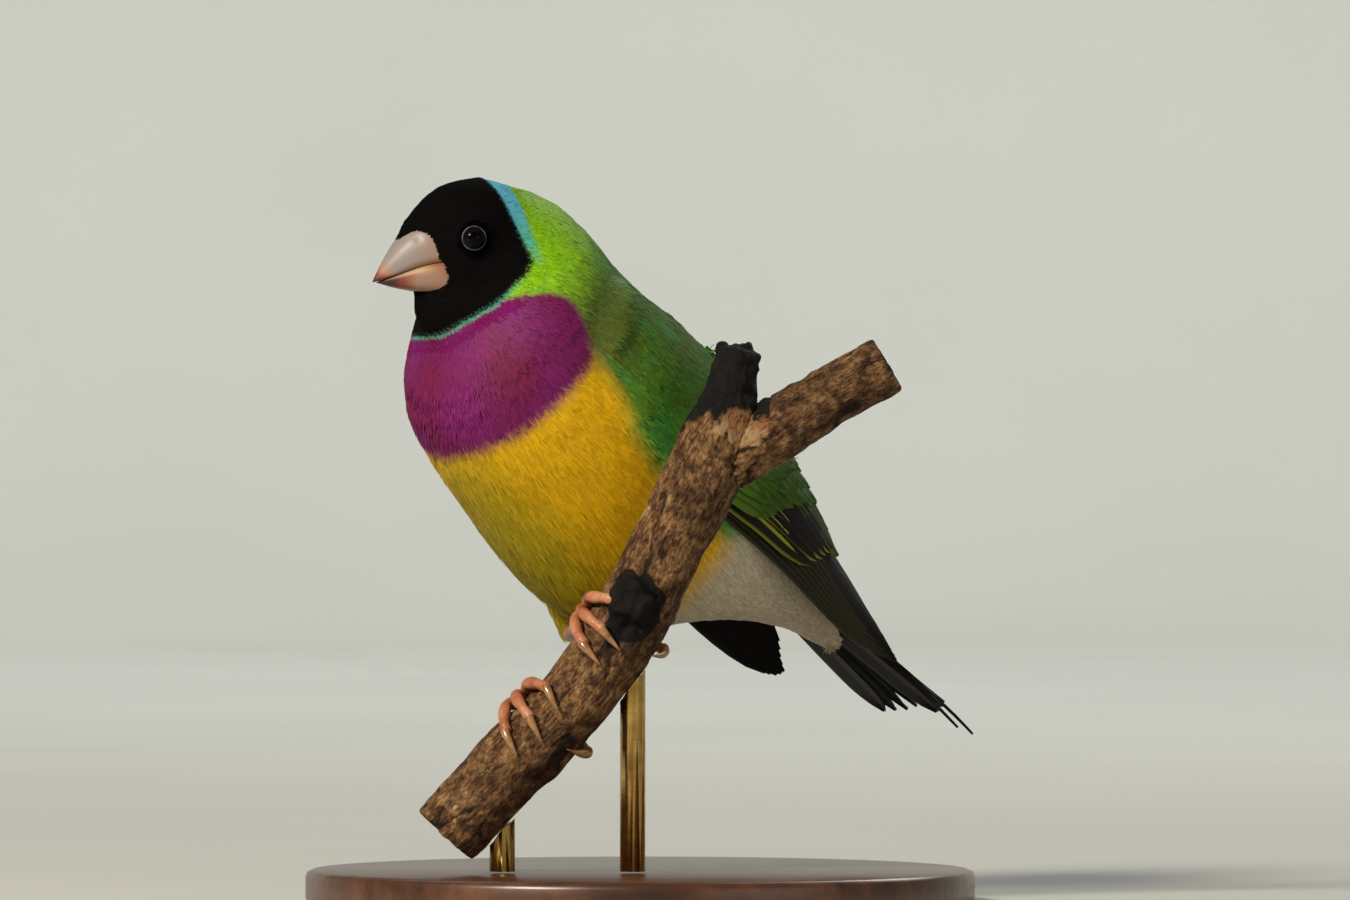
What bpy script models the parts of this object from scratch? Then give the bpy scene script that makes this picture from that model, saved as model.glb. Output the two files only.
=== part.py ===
# A gouldian finch, life size, gripping a cut branch that a plain stand holds up.
#
# The frame: X runs to the bird's tail, Y away from the viewer, Z up, with the origin
# at the centre of the stand's underside. Lengths are in metres.
#
# The body has a frame of its own: forward along the trunk, left, and dorsal. The head
# has one too, because it is turned away from the trunk's own line.

import math
import random

import bmesh
import bpy
from mathutils import Matrix, Vector

MM = 0.001
GAP = 0.3 * MM
SHARP_ANGLE = math.radians(40.0)
SEED = 2910

BODY_YAW = math.radians(36.0)
BODY_PITCH = math.radians(39.0)
TRUNK_CENTRE = Vector((-5.4, 9.5, 64.9)) * MM
HEAD_YAW = math.radians(20.0)
HEAD_PITCH = math.radians(-21.0)
HEAD_CENTRE = Vector((-24.3, -4.2, 94.3)) * MM
HEAD_RADII = Vector((11.1, 8.8, 10.1)) * MM
THROAT_CENTRE = HEAD_CENTRE + Vector((-0.8, -0.8, -7.2)) * MM
THROAT_RADII = Vector((8.3, 7.6, 8.4)) * MM
BROW_PLACE = Vector((6.0, 0.0, 4.6)) * MM
BROW_RADII = Vector((5.1, 3.4, 3.2)) * MM
BODY_VOXEL = 1.8 * MM
BODY_SMOOTHING = 6
BODY_KEPT_SHARE = 0.38
FACE_NARROWING = 0.6
CHIN_NARROWING = 0.95
CHIN_LEVEL = -7.5 * MM
CHIN_BLEND = 4.0 * MM

# Each section of the trunk: how far forward, half width, middle, rise and drop (mm).
TRUNK_SECTIONS = (
    (39.0, 7.0, 8.6, 7.4, 4.4),
    (36.0, 9.8, 7.9, 12.2, 7.8),
    (33.0, 11.8, 6.4, 14.8, 11.2),
    (29.5, 14.5, 3.4, 18.4, 16.0),
    (25.0, 16.4, 1.6, 20.0, 18.3),
    (19.0, 17.6, 0.7, 19.9, 19.5),
    (11.0, 18.3, 0.5, 20.2, 20.9),
    (3.0, 18.5, 0.2, 20.6, 22.1),
    (-5.0, 18.2, -0.1, 20.0, 22.4),
    (-12.0, 17.2, 0.1, 18.6, 21.6),
    (-18.0, 15.6, 0.8, 16.8, 19.6),
    (-24.0, 13.2, 2.2, 14.0, 15.4),
    (-30.0, 10.4, 4.0, 10.4, 11.6),
    (-36.0, 7.8, 5.6, 7.0, 8.6),
    (-42.0, 6.2, 6.4, 4.6, 6.0),
    (-45.5, 5.0, 6.0, 3.8, 4.5),
    (-50.0, 3.2, 4.4, 1.5, 2.0),
)
TRUNK_SIDES = 28
TRUNK_RINGS = 34

HEAD_CUT = 5.5 * MM
NECK_CUT = 13.0 * MM

EYE_PLACE = Vector((1.7, 7.75, 1.6)) * MM
EYE_RADIUS = 1.85 * MM
LID_RADIUS = 1.75 * MM
LID_WIRE = 0.36 * MM

BILL_TIP = Vector((15.6, 0.0, 0.2)) * MM
BILL_ROOT = 4.4 * MM
BILL_HALF_WIDTH = 5.0 * MM
CULMEN_RISE = 6.1 * MM
BILL_DROP = 5.0 * MM
BILL_BOXINESS = (0.6, 0.75)
LOWER_BILL_FULLNESS = 1.04
GAPE_DROP = 0.9 * MM
NOSTRIL_RADIUS = 0.42 * MM

VANE_THICKNESS = 0.62 * MM
VANE_STEPS = 4
WING_LAYER = 0.2 * MM

# The wing's outer face: how far forward, half width, middle, height, lower and upper
# angle round the trunk (mm and degrees).
WING_SECTIONS = (
    (27.0, 13.6, 5.0, 15.0, 2.0, 34.0),
    (20.0, 18.0, 2.6, 18.6, -1.0, 48.0),
    (10.0, 19.8, 0.8, 21.0, -10.0, 56.0),
    (0.0, 20.4, 0.4, 21.4, -13.0, 60.0),
    (-10.0, 19.8, 0.6, 20.2, -9.0, 62.0),
    (-20.0, 18.0, 1.4, 17.0, -6.0, 62.0),
    (-30.0, 15.8, 2.6, 12.6, -6.0, 58.0),
    (-40.0, 12.8, 3.6, 8.2, -7.0, 54.0),
    (-50.0, 10.0, 5.0, 4.6, -9.0, 46.0),
    (-60.0, 8.2, 6.2, 2.6, -10.0, 30.0),
)
# How much shorter each primary is than the next, on the right and on the left wing (mm).
PRIMARY_STEP = (1.1, 1.3)
# Which primary is the longest, and where its tip is, on the right and the left wing (mm).
LONGEST_PRIMARY = (2.2, 1.5)
PRIMARY_TIP = (-54.0, -56.0)
RIGHT_WING_SPREAD = 6.0 * MM
RIGHT_WING_DROOP = 4.8 * MM
COVERT_FRONT = 26.0 * MM
COVERT_BACK = -9.0 * MM

TAIL_ROOT = Vector((-40.0, 0.0, 6.0)) * MM
TAIL_LENGTH = 31.0 * MM
TAIL_RISE = math.radians(5.5)
TAIL_PIN = 7.5 * MM
TAIL_DROOP = math.radians(2.9)
PIN_SPACING = 0.7 * MM
SHORT_PIN_SHARE = 0.72

BRANCH_Y = -15.5 * MM
# The stem's middle line from its cut foot to its broken top, with its radius (mm).
STEM_LINE = (
    (-27.6, 10.4, 5.3),
    (-18.6, 20.1, 5.5),
    (-11.4, 27.3, 5.4),
    (-5.7, 34.4, 5.3),
    (-0.7, 42.3, 5.6),
    (3.6, 50.9, 5.3),
    (7.9, 59.4, 5.6),
    (11.0, 66.6, 5.2),
    (12.9, 72.6, 3.9),
    (14.0, 79.2, 2.9),
)
SIDE_LINE = (
    (10.6, 62.4, 4.6),
    (15.4, 65.6, 4.6),
    (21.4, 69.4, 4.5),
    (28.0, 73.3, 4.4),
    (35.2, 77.4, 4.3),
)
KNOT_PLACE = Vector((-0.8, 0.0, 43.4)) * MM
KNOT_RADIUS = 3.4 * MM
KNOT_REACH = 7.4 * MM
BARK_ROUGHNESS = 0.28 * MM

BASE_RADIUS = 48.0 * MM
BASE_HEIGHT = 5.0 * MM
BASE_EDGE = 1.0 * MM
ROD_RADIUS = 1.8 * MM
ROD_PLACES = (-19.5 * MM, -1.0 * MM)
ROD_TOP = 50.0 * MM

TARSUS_RADIUS = 0.95 * MM
TOE_RADIUS = 0.92 * MM
CLAW_RADIUS = 0.62 * MM

COLOURS = {
    "black_feather": (0.015, 0.012, 0.011, 0.6, 0.0),
    "purple_feather": (0.16, 0.02, 0.08, 0.7, 0.0),
    "green_feather": (0.10, 0.19, 0.02, 0.6, 0.0),
    "dark_feather": (0.03, 0.025, 0.02, 0.6, 0.0),
    "bill_horn": (0.62, 0.45, 0.36, 0.35, 0.0),
    "eye_gloss": (0.01, 0.008, 0.008, 0.08, 0.0),
    "leg_skin": (0.55, 0.26, 0.12, 0.5, 0.0),
    "bark": (0.12, 0.07, 0.04, 0.9, 0.0),
    "stand_wood": (0.30, 0.18, 0.10, 0.45, 0.0),
    "stand_brass": (0.62, 0.48, 0.25, 0.3, 1.0),
}


def clear_scene():
    for obj in list(bpy.data.objects):
        bpy.data.objects.remove(obj, do_unlink=True)
    for mesh in list(bpy.data.meshes):
        bpy.data.meshes.remove(mesh)


def make_collection(name):
    collection = bpy.data.collections.new(name)
    bpy.context.scene.collection.children.link(collection)
    return collection


def make_material(name):
    red, green, blue, roughness, metallic = COLOURS[name]
    material = bpy.data.materials.new(name)
    material.use_nodes = True
    shader = material.node_tree.nodes["Principled BSDF"]
    shader.inputs["Base Color"].default_value = (red, green, blue, 1.0)
    shader.inputs["Roughness"].default_value = roughness
    shader.inputs["Metallic"].default_value = metallic
    return material


def frame_axes(yaw, pitch):
    """Forward, left and upward unit vectors of something that faces the viewer's left."""
    level = Vector((-math.cos(yaw), -math.sin(yaw), 0.0))
    left = Vector((math.sin(yaw), -math.cos(yaw), 0.0))
    forward = level * math.cos(pitch) + Vector((0.0, 0.0, math.sin(pitch)))
    return forward, left, forward.cross(left)


BODY_AXES = frame_axes(BODY_YAW, BODY_PITCH)
HEAD_AXES = frame_axes(HEAD_YAW, HEAD_PITCH)


def place(centre, axes, local):
    return centre + axes[0] * local[0] + axes[1] * local[1] + axes[2] * local[2]


def on_body(forward, left, up):
    return place(TRUNK_CENTRE, BODY_AXES, (forward, left, up))


def on_head(forward, left, up):
    return place(HEAD_CENTRE, HEAD_AXES, (forward, left, up))


def axes_matrix(centre, axes):
    matrix = Matrix((axes[0], axes[1], axes[2])).transposed().to_4x4()
    matrix.translation = centre
    return matrix


def table_value(table, position, column):
    """A column of a table, read smoothly at a position of its first column."""
    rows = sorted(table)
    position = min(max(position, rows[0][0]), rows[-1][0])
    index = max(i for i in range(len(rows) - 1) if rows[i][0] <= position)
    low, high = rows[index], rows[index + 1]
    before = rows[max(index - 1, 0)]
    after = rows[min(index + 2, len(rows) - 1)]
    span = high[0] - low[0]
    share = (position - low[0]) / span
    slope_low = (high[column] - before[column]) / (high[0] - before[0]) * span
    slope_high = (after[column] - low[column]) / (after[0] - low[0]) * span
    s2, s3 = share ** 2, share ** 3
    return (low[column] * (2 * s3 - 3 * s2 + 1) + slope_low * (s3 - 2 * s2 + share)
            + high[column] * (3 * s2 - 2 * s3) + slope_high * (s3 - s2))


def line_point(line, share):
    """A point and radius along a line of (x, z, radius) rows, read smoothly."""
    steps = len(line) - 1
    rows = [(i / steps, *row) for i, row in enumerate(line)]
    x, z, radius = (table_value(rows, share, column) for column in (1, 2, 3))
    return Vector((x * MM, BRANCH_Y, z * MM)), radius * MM


def new_object(name, mesh, collection):
    obj = bpy.data.objects.new(name, mesh)
    collection.objects.link(obj)
    return obj


def mesh_from_rings(rings, name):
    """A closed mesh through rings of equal count, with a fan over each end."""
    bm = bmesh.new()
    loops = [[bm.verts.new(point) for point in ring] for ring in rings]
    count = len(loops[0])
    for lower, upper in zip(loops, loops[1:]):
        for i in range(count):
            j = (i + 1) % count
            bm.faces.new((lower[i], lower[j], upper[j]))
            bm.faces.new((lower[i], upper[j], upper[i]))
    for loop in (loops[0], loops[-1]):
        middle = sum((vert.co for vert in loop), Vector()) / count
        hub = bm.verts.new(middle)
        for i in range(count):
            bm.faces.new((loop[i], loop[(i + 1) % count], hub))
    bmesh.ops.recalc_face_normals(bm, faces=bm.faces)
    if bm.calc_volume(signed=True) < 0:
        bmesh.ops.reverse_faces(bm, faces=bm.faces)
    mesh = bpy.data.meshes.new(name)
    bm.to_mesh(mesh)
    bm.free()
    return mesh


def ellipsoid(name, centre, axes, radii, segments, collection):
    bm = bmesh.new()
    bmesh.ops.create_uvsphere(bm, u_segments=segments, v_segments=segments // 2, radius=1.0)
    size = Matrix.Diagonal((*radii, 1.0))
    bmesh.ops.transform(bm, matrix=axes_matrix(centre, axes) @ size, verts=bm.verts)
    mesh = bpy.data.meshes.new(name)
    bm.to_mesh(mesh)
    bm.free()
    return new_object(name, mesh, collection)


def tube(name, points, radii, collection, resolution=2):
    """A bent tube of changing radius, from a curve made a mesh."""
    curve = bpy.data.curves.new(name, "CURVE")
    curve.dimensions = "3D"
    curve.bevel_depth = 1.0
    curve.bevel_resolution = resolution
    curve.use_fill_caps = True
    spline = curve.splines.new("POLY")
    spline.points.add(len(points) - 1)
    for spot, point, radius in zip(spline.points, points, radii):
        spot.co = (*point, 1.0)
        spot.radius = radius
    guide = new_object(name + "_guide", curve, collection)
    mesh = finished_mesh(guide)
    bpy.data.objects.remove(guide, do_unlink=True)
    bm = bmesh.new()
    bm.from_mesh(mesh)
    bmesh.ops.remove_doubles(bm, verts=bm.verts, dist=0.01 * MM)
    bmesh.ops.triangulate(bm, faces=bm.faces)
    bmesh.ops.recalc_face_normals(bm, faces=bm.faces)
    bm.to_mesh(mesh)
    bm.free()
    return new_object(name, mesh, collection)


def finished_mesh(obj):
    bpy.context.view_layer.update()
    graph = bpy.context.evaluated_depsgraph_get()
    return bpy.data.meshes.new_from_object(obj.evaluated_get(graph))


def bake_modifiers(obj):
    mesh = finished_mesh(obj)
    obj.modifiers.clear()
    obj.data = mesh


def islands(bm):
    left = set(bm.faces)
    while left:
        stack = [left.pop()]
        island = []
        while stack:
            face = stack.pop()
            island.append(face)
            for edge in face.edges:
                for other in edge.link_faces:
                    if other in left:
                        left.remove(other)
                        stack.append(other)
        yield island


def keep_largest(obj):
    bm = bmesh.new()
    bm.from_mesh(obj.data)
    parts = sorted(islands(bm), key=len)
    scraps = [face for part in parts[:-1] for face in part]
    bmesh.ops.delete(bm, geom=scraps, context="FACES")
    bm.to_mesh(obj.data)
    bm.free()


def join_pieces(name, pieces, collection):
    """One closed body from overlapping closed pieces."""
    base = pieces[0]
    if len(pieces) > 1:
        group = make_collection(name + "_pieces")
        for piece in pieces[1:]:
            for home in list(piece.users_collection):
                home.objects.unlink(piece)
            group.objects.link(piece)
        union = base.modifiers.new("union", "BOOLEAN")
        union.operation = "UNION"
        union.operand_type = "COLLECTION"
        union.collection = group
        union.solver = "EXACT"
        bake_modifiers(base)
        for piece in pieces[1:]:
            bpy.data.objects.remove(piece, do_unlink=True)
        bpy.data.collections.remove(group)
    keep_largest(base)
    mesh = base.data
    bpy.data.objects.remove(base, do_unlink=True)
    return new_object(name, mesh, collection)


def cut_away(obj, cutter):
    cut = obj.modifiers.new("cut", "BOOLEAN")
    cut.operation = "DIFFERENCE"
    cut.object = cutter
    cut.solver = "EXACT"
    bake_modifiers(obj)
    keep_largest(obj)


def grown_copy(obj, distance, cutters):
    """A cutter that follows an object's surface at a distance."""
    bm = bmesh.new()
    bm.from_mesh(obj.data)
    bm.normal_update()
    moves = [(vert, vert.co + vert.normal * distance) for vert in bm.verts]
    for vert, spot in moves:
        vert.co = spot
    mesh = bpy.data.meshes.new(obj.name + "_grown")
    bm.to_mesh(mesh)
    bm.free()
    cutter = new_object(obj.name + "_grown", mesh, cutters)
    cutter.hide_render = True
    cutter.display_type = "WIRE"
    return cutter


def sliced_copy(obj, name, planes, collection):
    """The stretch of an object that lies behind each plane given as (point, normal)."""
    bm = bmesh.new()
    bm.from_mesh(obj.data)
    for point, normal in planes:
        geometry = bm.verts[:] + bm.edges[:] + bm.faces[:]
        bmesh.ops.bisect_plane(bm, geom=geometry, dist=0.01 * MM, plane_co=point,
                               plane_no=normal, clear_outer=True)
        rim = [edge for edge in bm.edges if edge.is_boundary]
        bmesh.ops.triangle_fill(bm, use_beauty=True, edges=rim)
        bmesh.ops.recalc_face_normals(bm, faces=bm.faces)
    mesh = bpy.data.meshes.new(name)
    bm.to_mesh(mesh)
    bm.free()
    return new_object(name, mesh, collection)


def finish(obj, material):
    obj.data.materials.clear()
    obj.data.materials.append(material)
    obj.data.shade_smooth()
    obj.data.set_sharp_from_angle(angle=SHARP_ANGLE)


def trunk_ring(forward):
    half_width, middle, rise, drop = (
        table_value(TRUNK_SECTIONS, forward, column) for column in (1, 2, 3, 4))
    ring = []
    for i in range(TRUNK_SIDES):
        angle = 2.0 * math.pi * i / TRUNK_SIDES
        height = rise if math.sin(angle) > 0 else drop
        ring.append(on_body(forward * MM, half_width * math.cos(angle) * MM,
                            (middle + height * math.sin(angle)) * MM))
    return ring


def narrow_face(obj, amount, level):
    """Narrows a form from the eyes to the bill, where it is higher than a level."""
    for vert in obj.data.vertices:
        offset = vert.co - HEAD_CENTRE
        ahead = min(max(offset.dot(HEAD_AXES[0]) / HEAD_RADII.x, 0.0), 1.0)
        across = offset.dot(HEAD_AXES[1])
        share = min(max((offset.dot(HEAD_AXES[2]) - level) / CHIN_BLEND, 0.0), 1.0)
        vert.co -= HEAD_AXES[1] * across * amount * share * ahead ** 1.5


def build_body(cutters):
    """Head, throat and trunk grown together into one smooth body."""
    first, last = TRUNK_SECTIONS[0][0], TRUNK_SECTIONS[-1][0]
    spots = [first + (last - first) * i / (TRUNK_RINGS - 1) for i in range(TRUNK_RINGS)]
    trunk = new_object("trunk", mesh_from_rings([trunk_ring(s) for s in spots], "trunk"), cutters)
    head = ellipsoid("skull", HEAD_CENTRE, HEAD_AXES, HEAD_RADII, 32, cutters)
    throat = ellipsoid("throat", THROAT_CENTRE, HEAD_AXES, THROAT_RADII, 32, cutters)
    brow = ellipsoid("brow", on_head(*BROW_PLACE), HEAD_AXES, BROW_RADII, 16, cutters)
    narrow_face(head, FACE_NARROWING, -HEAD_RADII.z)
    narrow_face(throat, CHIN_NARROWING, CHIN_LEVEL)
    body = join_pieces("body_whole", [trunk, head, throat, brow], cutters)
    remesh = body.modifiers.new("even", "REMESH")
    remesh.mode = "VOXEL"
    remesh.voxel_size = BODY_VOXEL
    smooth = body.modifiers.new("soft", "SMOOTH")
    smooth.iterations = BODY_SMOOTHING
    smooth.factor = 0.5
    thin = body.modifiers.new("fewer", "DECIMATE")
    thin.ratio = BODY_KEPT_SHARE
    bake_modifiers(body)
    body.hide_render = True
    body.display_type = "WIRE"
    return body


def head_line():
    return (HEAD_CENTRE - TRUNK_CENTRE).normalized()


def part_body(body, collection):
    line = head_line()
    half = 0.5 * GAP
    cut_high = HEAD_CENTRE - line * HEAD_CUT
    cut_low = HEAD_CENTRE - line * NECK_CUT
    head = sliced_copy(body, "head", [(cut_high + line * half, -line)], collection)
    neck = sliced_copy(body, "neck", [(cut_high - line * half, line),
                                      (cut_low + line * half, -line)], collection)
    torso = sliced_copy(body, "torso", [(cut_low - line * half, line)], collection)
    return head, neck, torso


def eye_centre(side):
    return on_head(EYE_PLACE[0], side * EYE_PLACE[1], EYE_PLACE[2])


def eye_axes(side):
    outward = (HEAD_AXES[1] * side + HEAD_AXES[0] * 0.18 + HEAD_AXES[2] * 0.1).normalized()
    along = HEAD_AXES[0].cross(outward).normalized()
    return along.cross(outward), along, outward


def build_eye(name, side, collection):
    return ellipsoid(name, eye_centre(side), eye_axes(side), [EYE_RADIUS] * 3, 16, collection)


def lid_ring(side, cutters):
    """A low rim of skin round the eye."""
    bm = bmesh.new()
    outline = []
    for i in range(20):
        angle = 2.0 * math.pi * i / 20
        outline.append([math.cos(angle), math.sin(angle)])
    loops = []
    for cosine, sine in outline:
        loop = []
        for k in range(6):
            turn = 2.0 * math.pi * k / 6
            reach = LID_RADIUS + 0.25 * MM + LID_WIRE * math.cos(turn)
            rise = 0.25 * MM + LID_WIRE * 1.6 * math.sin(turn)
            loop.append(bm.verts.new((cosine * reach, sine * reach, rise)))
        loops.append(loop)
    for i, loop in enumerate(loops):
        following = loops[(i + 1) % len(loops)]
        for k in range(6):
            m = (k + 1) % 6
            bm.faces.new((loop[k], following[k], following[m]))
            bm.faces.new((loop[k], following[m], loop[m]))
    bmesh.ops.recalc_face_normals(bm, faces=bm.faces)
    bmesh.ops.transform(bm, matrix=axes_matrix(eye_centre(side), eye_axes(side)), verts=bm.verts)
    mesh = bpy.data.meshes.new("lid")
    bm.to_mesh(mesh)
    bm.free()
    return new_object("lid", mesh, cutters)


def finish_head(head, collection, cutters):
    """Lids round the eyes and a socket for each."""
    lids = [lid_ring(side, cutters) for side in (1.0, -1.0)]
    head = join_pieces("head", [head] + lids, collection)
    for side in (1.0, -1.0):
        hole = ellipsoid("socket", eye_centre(side), eye_axes(side),
                         [EYE_RADIUS + GAP] * 3, 16, cutters)
        cut_away(head, hole)
        bpy.data.objects.remove(hole, do_unlink=True)
    return head


def bill_ring(share, upper):
    """A half-round section of one mandible, at a share of the way from root to tip."""
    forward = BILL_ROOT + (BILL_TIP[0] - BILL_ROOT) * share
    fullness = (1.0 - share ** 1.5) ** 0.95
    width = BILL_HALF_WIDTH * fullness + 0.12 * MM
    gape = -GAPE_DROP * (1.0 - share) ** 1.5 + BILL_TIP[2] * share
    gape += 0.9 * MM * math.sin(math.pi * share) * (1.0 - share)
    if upper:
        reach = CULMEN_RISE * (1.0 - share ** 1.7) + 0.2 * MM
        start = 0.5 * GAP
        sign = 1.0
    else:
        reach = BILL_DROP * (1.0 - share ** 1.45) + 0.12 * MM
        start = -0.5 * GAP
        sign = -1.0
        width *= LOWER_BILL_FULLNESS
        forward -= 0.35 * MM * share
    boxiness = BILL_BOXINESS[upper]
    ring = []
    for i in range(9):
        angle = math.pi * i / 8
        across = math.copysign(abs(math.cos(angle)) ** boxiness, math.cos(angle))
        ring.append(on_head(forward, width * across,
                            gape + start + sign * reach * math.sin(angle) ** boxiness))
    return ring


def build_bill(name, upper, head_grown, collection, cutters):
    shares = [0.0, 0.14, 0.28, 0.42, 0.56, 0.7, 0.82, 0.92, 1.0]
    mesh = mesh_from_rings([bill_ring(share, upper) for share in shares], name)
    bill = new_object(name, mesh, collection)
    cut_away(bill, head_grown)
    if upper:
        for side in (1.0, -1.0):
            spot = on_head(BILL_ROOT + 4.3 * MM, side * 2.75 * MM, 3.35 * MM)
            hole = ellipsoid("nostril", spot, HEAD_AXES,
                             (1.5 * NOSTRIL_RADIUS, NOSTRIL_RADIUS, NOSTRIL_RADIUS), 10, cutters)
            cut_away(bill, hole)
            bpy.data.objects.remove(hole, do_unlink=True)
    return bill


def wing_point(forward, share, lift, side):
    """A point on a wing's face: share 0 is its lower edge and 1 its upper one."""
    half_width, middle, height, low, high = (
        table_value(WING_SECTIONS, forward, column) for column in (1, 2, 3, 4, 5))
    angle = math.radians(low + (high - low) * share)
    across = (half_width * MM + lift) * math.cos(angle)
    up = middle * MM + (height * MM + lift) * math.sin(angle)
    if side < 0:
        free = min(max((-forward - 8.0) / 45.0, 0.0), 1.0)
        across += RIGHT_WING_SPREAD * free
        up -= RIGHT_WING_DROOP * free * (1.3 - share)
    return on_body(forward * MM, side * across, up)


def vane(name, middle_line, normals, half_widths, cutters, thickness=VANE_THICKNESS):
    """A feather's vane: a thin tapered blade that arches over its shaft."""
    rings = []
    count = len(middle_line)
    for i, (point, normal, half) in enumerate(zip(middle_line, normals, half_widths)):
        before = middle_line[max(i - 1, 0)]
        after = middle_line[min(i + 1, count - 1)]
        along = (after - before).normalized()
        across = normal.cross(along).normalized()
        face = along.cross(across).normalized()
        depth = thickness * (1.0 if i < count - 1 else 0.55)
        arch = 0.14 * half
        top = [point - across * half - face * arch, point, point + across * half - face * arch]
        low = [spot - face * depth for spot in reversed(top)]
        rings.append(top + low)
    return new_object(name, mesh_from_rings(rings, name), cutters)


def vane_widths(half_width, tip_share, root_share=0.7):
    """Half widths from the root to a rounded tip."""
    widths = []
    for i in range(VANE_STEPS + 1):
        share = i / VANE_STEPS
        shape = root_share + (1.0 - root_share) * math.sin(min(share * 1.6, 1.0) * math.pi / 2)
        if share > 0.7:
            shape *= 1.0 - (1.0 - tip_share) * ((share - 0.7) / 0.3) ** 2
        widths.append(half_width * shape)
    return widths


def wing_vane(name, root, tip, half_width, lift, side, cutters, tip_share=0.35):
    """A vane on the wing's face between two (forward mm, share across) places."""
    line = []
    normals = []
    for i in range(VANE_STEPS + 1):
        share = i / VANE_STEPS
        forward = root[0] + (tip[0] - root[0]) * share
        across = root[1] + (tip[1] - root[1]) * share
        point = wing_point(forward, across, lift, side)
        above = wing_point(forward, across, lift + MM, side)
        line.append(point)
        normals.append((above - point).normalized())
    return vane(name, line, normals, vane_widths(half_width, tip_share), cutters)


def covert_plate(side, cutters):
    """The small feathers of the shoulder as one low cushion, sunk into the trunk."""
    rings = []
    columns = 7
    rows = 9
    for i in range(rows):
        share = i / (rows - 1)
        forward = (COVERT_FRONT + (COVERT_BACK - COVERT_FRONT) * share) / MM
        swell = math.sin(math.pi * min(0.16 + 0.84 * share, 1.0) ** 0.8) ** 0.5
        outer = []
        inner = []
        for k in range(columns):
            across = k / (columns - 1)
            crown = math.sin(math.pi * (0.08 + 0.84 * across)) ** 0.5
            lift = (0.9 * crown * swell - 0.3) * MM
            outer.append(wing_point(forward, across, lift, side))
            inner.append(wing_point(forward, across, -4.5 * MM, side))
        rings.append(outer + inner[::-1])
    return new_object("coverts", mesh_from_rings(rings, "coverts"), cutters)


def wing_feathers(side, draw, cutters):
    """Flight feathers and their coverts, tier over tier, from the lowest layer up."""
    feathers = []
    layer = 0
    primaries = 6
    for i in range(primaries):
        share = i / (primaries - 1)
        root = (-4.0 + 1.5 * share, 0.10 + 0.30 * share)
        left = side > 0
        step = PRIMARY_STEP[left] * abs(i - LONGEST_PRIMARY[left]) ** 1.25
        tip = (PRIMARY_TIP[left] + step + draw.uniform(-0.3, 0.3), 0.12 + 0.62 * share)
        feathers.append(wing_vane("primary", root, tip, 2.6 * MM, layer * WING_LAYER - 0.9 * MM,
                                  side, cutters, 0.4))
        layer += 1
    secondaries = 4
    for i in range(secondaries):
        share = i / (secondaries - 1)
        root = (2.0, 0.16 + 0.46 * share)
        tip = (-31.0 - 3.0 * share + draw.uniform(-0.4, 0.4), 0.20 + 0.52 * share)
        feathers.append(wing_vane("secondary", root, tip, 2.9 * MM, layer * WING_LAYER - 0.9 * MM,
                                  side, cutters, 0.6))
        layer += 1
    tertials = 3
    for i in range(tertials):
        share = i / (tertials - 1)
        root = (4.0, 0.62 + 0.26 * share)
        tip = (-36.0 + 8.0 * share + draw.uniform(-0.4, 0.4), 0.70 + 0.16 * share)
        feathers.append(wing_vane("tertial", root, tip, 3.3 * MM, layer * WING_LAYER - 0.9 * MM,
                                  side, cutters, 0.55))
        layer += 1
    coverts = 4
    for i in range(coverts):
        share = i / (coverts - 1)
        root = (8.0, 0.06 + 0.86 * share)
        tip = (-14.5 + draw.uniform(-0.6, 0.6), 0.08 + 0.84 * share)
        lift = (0.9 + 0.9 * share) * MM
        feathers.append(wing_vane("covert", root, tip, 3.4 * MM, lift, side, cutters, 0.6))
    return feathers


def build_wing(name, side, body_grown, collection, cutters):
    draw = random.Random(SEED + int(side))
    pieces = [covert_plate(side, cutters)] + wing_feathers(side, draw, cutters)
    wing = join_pieces(name, pieces, collection)
    cut_away(wing, body_grown)
    return wing


def tail_vane(name, root, length, turn, rise, half_width, tip_share, cutters):
    """A tail feather from a root in the body's frame, turned left and raised."""
    along = Vector((-math.cos(turn) * math.cos(rise), math.sin(turn), math.sin(rise)))
    line = []
    normals = []
    up = BODY_AXES[2]
    for i in range(VANE_STEPS + 1):
        spot = root + along * (length * i / VANE_STEPS)
        line.append(on_body(*spot))
        normals.append(up)
    return vane(name, line, normals, vane_widths(half_width, tip_share), cutters)


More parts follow.
